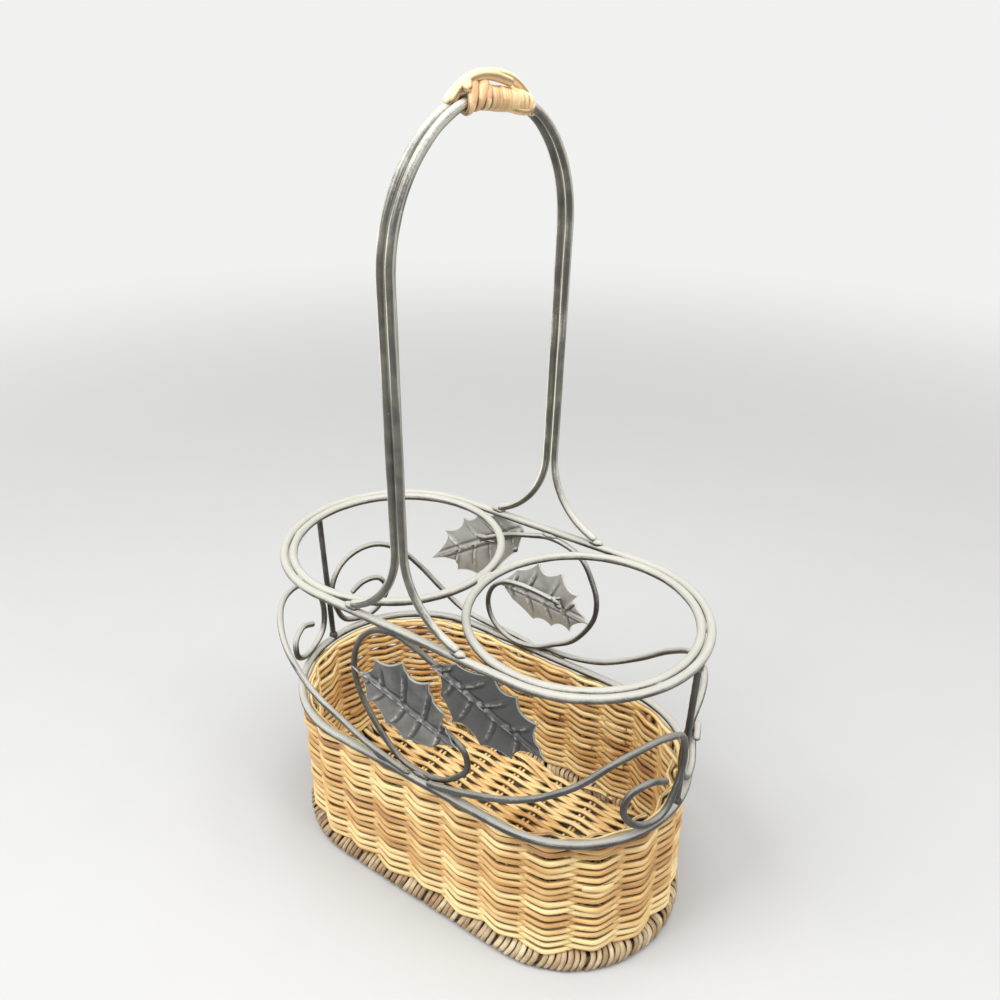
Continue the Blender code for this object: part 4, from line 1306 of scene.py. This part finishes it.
# Thickness of the floor's sticks and weavers, and how far the weavers lap over the border
FLOOR_STICK_SIZE = 0.0017
FLOOR_WEAVER_SIZE = 0.0027
BORDER_LAP = 0.0030

# The flat end of a weaver that lies loose on the far side of the floor
LOOSE_REED = (
    (-0.0137, 0.0458, 0.0106), (-0.0066, 0.0455, 0.0109), (0.0008, 0.0435, 0.0108),
    (0.0078, 0.0410, 0.0104), (0.0138, 0.0388, 0.0098), (0.0202, 0.0370, 0.0086))


class BASKET_OT_floor(Operator):
    """Weaves the floor: pairs of thin sticks across it, and weavers along it over and under them"""

    bl_idname = "basket.floor"
    bl_label = "Woven floor"

    def execute(self, context):
        weave = context.scene.basket_weave
        rng = np.random.default_rng(81)
        size = FLOOR_WEAVER_SIZE
        lap = FLOOR_HALF_WIDTH + BORDER_LAP
        swing = (FLOOR_STICK_SIZE + size) / 2 * 0.92
        middle_height = FLOOR_TOP - swing - size / 2 + 0.0003
        half_count = int((lap - size / 2) / weave.floor_pitch)
        row = np.arange(-half_count, half_count + 1)[:, None]
        y = row * weave.floor_pitch + 0.0006
        stakes = np.array(FLOOR_STAKE_PLACES)
        spacing = stakes[1] - stakes[0]
        number = bunched(np.linspace(-0.5, len(stakes) - 0.5, 9 * len(stakes)))[None]
        share = number / len(stakes)
        x = stakes[0] + number * spacing
        reach = LOWER_REACH + np.sqrt(np.maximum(lap**2 - y**2, 0.0)) - size / 2
        x = np.clip(x, -reach, reach)
        x = np.sort(x + np.linspace(-1e-5, 1e-5, x.shape[1])[None], axis=1)
        number = (x - stakes[0]) / spacing
        side = np.where(row % 2 == 0, 1.0, -1.0)
        bend = 1 + 0.12 * ripple(rng, len(row), share, (3, 8, 13))
        wave = side * weave_wave(number)
        height = middle_height + swing * wave * bend
        height = height + 0.00015 * ripple(rng, len(row), share, (2, 6))
        outwards = np.hypot(np.maximum(np.abs(x) - LOWER_REACH, 0.0), y)
        height = height + 0.0014 * ease((outwards - FLOOR_HALF_WIDTH + 0.0015) / 0.0035)
        drift = 0.0003 * ripple(rng, len(row), share, (1, 3, 6)) + 0.0007 * ripple(rng, 1, share, (1, 2))
        path = np.stack([x, y + drift, height], axis=-1)
        wide = size * (1.10 + 0.08 * ripple(rng, len(row), share, (3, 7, 17)))
        tone = rng.uniform(0.55, 1.0, len(row))
        # The swing paints shade on the side of each weaver that faces the sticks it passes over or under
        shape = strands(path, UPWARDS, size * 0.92, wide, sides=8, tone=tone, swing=wave)
        reed = smooth(LOOSE_REED, 6)[None]
        reed, full = rounded_ends(reed, 0.003)
        loose = strands(
            reed, UPWARDS, 0.0017 * full, 0.0031 * full, sides=8, tone=0.6, number=len(row))
        finish = fibre_finish("willow")
        add_piece("floor_weavers", join(shape, loose), finish, "golden_wicker", "wicker_floor")

        offset = np.array((-0.00125, 0.00125))
        place = (stakes[:, None] + offset).ravel()
        inside = np.abs(place) < LOWER_REACH + FLOOR_HALF_WIDTH - 0.004
        place = place[inside][:, None]
        beyond = np.maximum(np.abs(place) - LOWER_REACH, 0.0)
        half = np.sqrt(FLOOR_HALF_WIDTH**2 - beyond**2)
        share = np.linspace(-1.0, 1.0, 30)[None]
        path = np.stack([
            place + 0.0002 * ripple(rng, len(place), share, (1, 2)), share * half,
            np.full((len(place), 30), middle_height)], axis=-1)
        tone = rng.uniform(0.5, 1.0, len(place))
        shape = strands(path, UPWARDS, FLOOR_STICK_SIZE, FLOOR_STICK_SIZE, sides=8, tone=tone)
        add_piece("floor_sticks", shape, finish, "golden_wicker")
        return {"FINISHED"}


class BASKET_OT_border(Operator):
    """Wraps the border that the basket stands on, turn by turn, with a dark gap at each stake"""

    bl_idname = "basket.border"
    bl_label = "Base border"

    def execute(self, context):
        weave = context.scene.basket_weave
        rng = np.random.default_rng(91)
        deep = 0.0017
        half = BORDER_SIZE / 2 - deep / 2
        centre = BORDER_HALF_WIDTH - BORDER_SIZE / 2
        length = loop_length(LOWER_REACH, centre)
        group = length / weave.stakes
        gap = 0.0015
        pitch = (group - gap) / weave.wraps_per_stake
        start = FIRST_STAKE_RUN - 0.0027 + gap / 2
        wrap = start + (np.arange(weave.stakes)[:, None] * group
                        + (np.arange(weave.wraps_per_stake) + 0.5) * pitch).ravel()
        count = len(wrap)
        wrap = wrap[:, None] + 0.0002 * rng.normal(0.0, 1.0, (count, 1))
        angle = FULL_TURN * np.arange(14)[None] / 14
        cosine, sine = squarish(np.cos(angle), 0.62), squarish(np.sin(angle), 0.62)
        bulk = 1 + 0.035 * rng.normal(0.0, 1.0, (count, 1))
        out = half * cosine * bulk
        raised = np.where(sine > 0, 0.0012 * (1 - cosine) * sine, 0.0)
        height = BORDER_SIZE / 2 + half * sine + raised + np.zeros_like(out)
        slant = 0.0017 * (0.8 + 0.4 * rng.uniform(0, 1, (count, 1)))
        run = wrap + slant * sine
        place, outward = on_loop(run, LOWER_REACH, centre)
        path, _ = standing(place, outward, out, height)
        away = outward * cosine[..., None]
        reference = np.concatenate([away, np.broadcast_to(sine, run.shape)[..., None]], axis=-1)
        wide = pitch * 0.97 * (1 + 0.06 * rng.normal(0.0, 1.0, (count, 1)))
        wide = wide + np.zeros_like(run)
        tone = rng.uniform(0.0, 1.0, count)
        wraps = strands(path, reference, deep, wide, sides=6, closed=True, tone=tone)
        finish = fibre_finish("reed")

        turn = np.arange(240)[None] / 240
        place, outward = on_loop(turn * length, LOWER_REACH, centre)
        path = np.concatenate([place, np.full((1, 240, 1), BORDER_SIZE / 2)], axis=-1)
        level = np.concatenate([outward, np.zeros((1, 240, 1))], axis=-1)
        core_size = BORDER_SIZE - 2 * deep
        # The core takes the darkest tone: painted shade in the gaps between the groups of wraps
        core = strands(path, level, core_size, core_size, sides=10, closed=True, tone=-1.2)
        add_piece("border_wraps", wraps, finish, "weathered_reed", "base_border")
        add_piece("border_core", core, finish, "weathered_reed")
        return {"FINISHED"}


# The grip

GRIP_WRAP = 0.0020
WINDING_HALF_HEIGHT = SEAT + GRIP_WRAP / 2
WINDING_HALF_WIDTH = LEG_OFFSET + WINDING_HALF_HEIGHT

# Turns of the winding: where each lies along the grip, its width, how far its top lies behind its
# bottom, how far its right side lies before its left one, and how far it bulges on top
GRIP_TURNS = (
    (-0.0114, 0.0042, 0.0048, 0.0047, 0.0024), (-0.0062, 0.0042, 0.0052, 0.0045, 0.0025),
    (-0.0030, 0.0032, 0.0030, 0.0040, 0.0006),
    (-0.0004, 0.0021, 0.0010, 0.0035, 0.0), (0.0015, 0.0021, 0.0010, 0.0035, 0.0001),
    (0.0034, 0.0020, 0.0008, 0.0035, 0.0), (0.0053, 0.0021, 0.0006, 0.0035, 0.0001),
    (0.0072, 0.0020, 0.0005, 0.0035, 0.0), (0.0091, 0.0021, 0.0004, 0.0035, 0.0),
    (0.0110, 0.0020, 0.0002, 0.0035, 0.0001), (0.0129, 0.0021, 0.0000, 0.0035, 0.0),
    (0.0148, 0.0020, -0.0002, 0.0035, 0.0), (0.0170, 0.0026, -0.0012, 0.0032, -0.0001),
    (0.0194, 0.0028, -0.0018, 0.0028, -0.0003), (0.0218, 0.0028, -0.0022, 0.0020, -0.0006),
)

# Loose strands of the grip: thickness, then knots of place along the grip, sideways and out of it
GRIP_STRANDS = {
    "grip_over_strand": (0.0034, (
        (-0.0196, -0.0016, 0.0022), (-0.0176, -0.0015, 0.0031), (-0.0153, -0.0014, 0.0039),
        (-0.0112, -0.0012, 0.0052), (-0.0050, -0.0012, 0.0060), (0.0011, -0.0012, 0.0060),
        (0.0080, -0.0012, 0.0059), (0.0135, -0.0012, 0.0057), (0.0185, -0.0012, 0.0049),
        (0.0227, -0.0012, 0.0038), (0.0265, -0.0010, 0.0024), (0.0288, -0.0004, 0.0008),
        (0.0292, 0.0002, -0.0012))),
    "grip_tail_strand": (0.0034, (
        (-0.0188, -0.0002, 0.0026), (-0.0172, 0.0003, 0.0038), (-0.0152, 0.0009, 0.0050),
        (-0.0122, 0.0013, 0.0060), (-0.0080, 0.0017, 0.0063), (-0.0026, 0.0021, 0.0058),
        (0.0016, 0.0024, 0.0050), (0.0052, 0.0027, 0.0042), (0.0084, 0.0029, 0.0036))),
    "grip_stub": (0.0034, (
        (-0.0112, 0.0005, 0.0054), (-0.0136, 0.0024, 0.0052), (-0.0152, 0.0038, 0.0049))),
    "grip_knot": (0.0024, (
        (0.0095, 0.0026, -0.0052), (0.0142, 0.0042, -0.0054), (0.0192, 0.0046, -0.0045),
        (0.0229, 0.0040, -0.0023), (0.0257, 0.0024, 0.0002))),
}


def flattened(distance):
    """How far the top of the arch is pressed down, most a little behind its middle."""
    return 0.0023 * ridge(distance - 0.0065, 0.0145)


def on_arch(distance, sideways, outwards):
    """Points near the top of the arch: distance along it from its top, sideways along the basket and
    outwards, with the direction out of the arch."""
    angle = distance / ARCH_RADIUS
    out = np.stack([np.zeros_like(angle), np.sin(angle), np.cos(angle)], axis=-1)
    height = HANDLE_SHOULDER + ARCH_RISE * np.cos(angle)
    place = np.stack([handle_middle(height) + sideways, HANDLE_HALF_WIDTH * np.sin(angle), height], axis=-1)
    return place + out * outwards[..., None], out


class BASKET_OT_grip(Operator):
    """Winds the rattan round the top of the arch and lays two strands back over it"""

    bl_idname = "basket.grip"
    bl_label = "Rattan grip"

    def execute(self, context):
        rng = np.random.default_rng(101)
        start, width, slant, lead, bulge = (np.array(values)[:, None] for values in zip(*GRIP_TURNS))
        count = len(GRIP_TURNS)
        angle = FULL_TURN * np.arange(32)[None] / 32
        cosine, sine = squarish(np.cos(angle), 0.75), squarish(np.sin(angle), 0.75)
        puff = 1 + 0.02 * rng.normal(0.0, 1.0, (count, 1))
        distance = start + slant * np.sin(angle) / 2 - lead * np.cos(angle)
        sideways = WINDING_HALF_WIDTH * cosine * puff
        outwards = WINDING_HALF_HEIGHT * sine * puff + bulge * np.maximum(np.sin(angle), 0.0) ** 2
        path, out = on_arch(distance, sideways, outwards - flattened(distance))
        reference = out * sine[..., None] + np.array((1.0, 0.0, 0.0)) * cosine[..., None]
        wide = width + np.zeros_like(distance)
        tone = rng.uniform(0.0, 0.55, count)
        winding = strands(path, reference, GRIP_WRAP, wide, sides=10, closed=True, tone=tone)
        finish = fibre_finish("rattan")
        add_piece("grip_winding_turns", winding, finish, "tan_rattan", "grip_winding")

        for number, (name, (size, knots)) in enumerate(GRIP_STRANDS.items()):
            path, out = on_arch(*smooth(knots, 8).T)
            path, full = domed_ends(path[None], size)
            full = full * (1 + 0.03 * ripple(rng, 1, np.linspace(0.0, 1.0, path.shape[1]), (2, 5)))
            out = np.concatenate([np.tile(out[:1], (DOME_RINGS, 1)), out, np.tile(out[-1:], (DOME_RINGS, 1))])
            shape = strands(
                path, out, size * full, size * full, sides=12, tone=0.95 - 0.1 * number,
                number=count + number)
            nodes = (name,) if name.endswith("strand") else ()
            add_piece(name + "_rattan", shape, finish, "tan_rattan", *nodes)
        return {"FINISHED"}


# The stage

CAMERA_PLACE = (0.2132, -0.2876, 0.3861)
CAMERA_AZIMUTH = math.radians(35.47)
CAMERA_TILT = math.radians(27.86)
CAMERA_ROLL = math.radians(0.26)
CAMERA_LENS = 33.71
FLOOR_RINGS = (0.3, 0.8, 2.0, 5.0, 12.0)
LIGHT_AIM = (0.0, 0.0, 0.10)
LIGHTS = (
    ("key_light", (-0.45, -0.80, 1.05), 0.7, 14.5), ("top_light", (0.15, -0.10, 1.35), 0.8, 14.0),
    ("fill_light", (0.95, 0.10, 1.00), 0.7, 7.5))
PALE_FLOOR = (0.47, 0.47, 0.465)
PALE_BACKDROP = (0.88, 0.88, 0.875)


def add_light(name, place, aim, size, power):
    """A square soft light at a place, turned to face a point."""
    lamp = bpy.data.lights.new(name, "AREA")
    lamp.shape = "SQUARE"
    lamp.size = size
    lamp.energy = power
    item = bpy.data.objects.new(name, lamp)
    bpy.context.scene.collection.objects.link(item)
    direction = unit(np.array(aim) - np.array(place))
    side = unit(np.cross(direction, (0.0, 0.0, 1.0)))
    item.matrix_world = looking(place, direction, side)


def looking(place, direction, side):
    """The matrix of a camera or light at a place that looks along a direction, with its right side."""
    up = np.cross(side, direction)
    columns = np.stack([side, up, -np.asarray(direction), place], axis=-1)
    return Matrix([*columns.tolist(), (0.0, 0.0, 0.0, 1.0)])


class BASKET_OT_stage(Operator):
    """Sets the pale floor, the soft lights and the camera"""

    bl_idname = "basket.stage"
    bl_label = "Stage"

    def execute(self, context):
        scene = context.scene
        camera = bpy.data.objects.new("camera", bpy.data.cameras.new("camera"))
        scene.collection.objects.link(camera)
        camera.data.lens = CAMERA_LENS
        camera.data.sensor_width = 36.0
        camera.data.clip_start = 0.01
        direction = np.array((
            -math.sin(CAMERA_AZIMUTH) * math.cos(CAMERA_TILT),
            math.cos(CAMERA_AZIMUTH) * math.cos(CAMERA_TILT), -math.sin(CAMERA_TILT)))
        level = np.array((math.cos(CAMERA_AZIMUTH), math.sin(CAMERA_AZIMUTH), 0.0))
        side = level * math.cos(CAMERA_ROLL) + np.cross(level, direction) * math.sin(CAMERA_ROLL)
        camera.matrix_world = looking(CAMERA_PLACE, direction, side)
        scene.camera = camera
        scene.view_settings.view_transform = "Standard"

        radius = np.array(FLOOR_RINGS)[:, None]
        angle = FULL_TURN * np.arange(64) / 64
        rings = np.stack([radius * np.cos(angle), radius * np.sin(angle), 0.0 * radius * angle], axis=-1)
        floor_mesh = bpy.data.meshes.new("stage_floor")
        number = np.arange(len(radius) * 64).reshape(-1, 64)
        quads = np.stack([
            number[:-1], number[1:], np.roll(number[1:], -1, 1), np.roll(number[:-1], -1, 1)], axis=-1)
        faces = quads.reshape(-1, 4).tolist() + [number[0].tolist()]
        floor_mesh.from_pydata(rings.reshape(-1, 3).tolist(), [], faces)
        floor = bpy.data.objects.new("stage_floor", floor_mesh)
        scene.collection.objects.link(floor)
        floor_mesh.materials.append(floor_finish())

        for name, place, size, power in LIGHTS:
            add_light(name, place, LIGHT_AIM, size, power)
        world = bpy.data.worlds.new("studio")
        scene.world = world
        world.use_nodes = True
        tree = world.node_tree
        plain = tree.nodes["Background"]
        plain.inputs["Color"].default_value = (1.0, 1.0, 1.0, 1.0)
        plain.inputs["Strength"].default_value = 0.42
        shown = tree.nodes.new("ShaderNodeBackground")
        shown.inputs["Color"].default_value = (*PALE_BACKDROP, 1.0)
        path = tree.nodes.new("ShaderNodeLightPath")
        mixer = tree.nodes.new("ShaderNodeMixShader")
        seen = path.outputs["Is Camera Ray"]
        for ray in ("Is Glossy Ray", "Is Transmission Ray"):
            either = tree.nodes.new("ShaderNodeMath")
            either.operation = "MAXIMUM"
            tree.links.new(seen, either.inputs[0])
            tree.links.new(path.outputs[ray], either.inputs[1])
            seen = either.outputs[0]
        tree.links.new(seen, mixer.inputs[0])
        tree.links.new(plain.outputs[0], mixer.inputs[1])
        tree.links.new(shown.outputs[0], mixer.inputs[2])
        tree.links.new(mixer.outputs[0], tree.nodes["World Output"].inputs["Surface"])
        return {"FINISHED"}


def floor_finish():
    """A pale matt floor that keeps shadows and fades into the backdrop away from the basket."""
    finish = Finish("pale_floor", Roughness=0.9)
    place = finish.add("TexCoord", {}, {}, output="Object")
    away = finish.add("VectorMath", {"operation": "LENGTH"}, {0: place}, output="Value")
    mottle = finish.noise("Object", 30.0, 3.0)
    colour = finish.mix(PALE_FLOOR, tinted(PALE_FLOOR, 0.97), mottle)
    finish.feed(Base_Color=colour)
    glow = finish.tree.nodes.new("ShaderNodeEmission")
    glow.inputs["Color"].default_value = (*PALE_BACKDROP, 1.0)
    mixer = finish.tree.nodes.new("ShaderNodeMixShader")
    finish.tree.links.new(away.between(0.35, 1.3).socket, mixer.inputs[0])
    finish.tree.links.new(finish.shader.outputs[0], mixer.inputs[1])
    finish.tree.links.new(glow.outputs[0], mixer.inputs[2])
    finish.tree.links.new(mixer.outputs[0], finish.tree.nodes["Material Output"].inputs["Surface"])
    return finish.material


STEPS = (
    BASKET_OT_stage, BASKET_OT_rails, BASKET_OT_handle, BASKET_OT_scrolls, BASKET_OT_leaf_wires,
    BASKET_OT_welds, BASKET_OT_leaves, BASKET_OT_wall, BASKET_OT_rim, BASKET_OT_floor, BASKET_OT_border,
    BASKET_OT_grip,
)


class BASKET_PT_panel(Panel):
    """Lists the basket's sizes, colours and pieces"""

    bl_idname = "BASKET_PT_panel"
    bl_label = "Wine bottle basket"
    bl_space_type = "VIEW_3D"
    bl_region_type = "UI"
    bl_category = "Basket"

    def draw(self, context):
        layout = self.layout
        for group in (context.scene.basket_wires, context.scene.basket_weave, context.scene.basket_colours):
            box = layout.box()
            for name in group.__annotations__:
                box.prop(group, name)
        for step in STEPS:
            layout.operator(step.bl_idname)


GROUPS = {"basket_wires": BasketWires, "basket_weave": BasketWeave, "basket_colours": BasketColours}


def register():
    """Registers the classes and gives the scene its sizes and colours."""
    for kind in (*GROUPS.values(), *STEPS, BASKET_PT_panel):
        bpy.utils.register_class(kind)
    for name, kind in GROUPS.items():
        setattr(bpy.types.Scene, name, PointerProperty(type=kind))


def unregister():
    """Takes the classes and the scene's sizes and colours away."""
    for name in GROUPS:
        delattr(bpy.types.Scene, name)
    for kind in (*GROUPS.values(), *STEPS, BASKET_PT_panel):
        bpy.utils.unregister_class(kind)


def main():
    """Makes the whole basket on its stage."""
    register()
    for step in STEPS:
        group, name = step.bl_idname.split(".")
        getattr(getattr(bpy.ops, group), name)()
    bpy.context.view_layer.update()


if __name__ == "__main__":
    main()
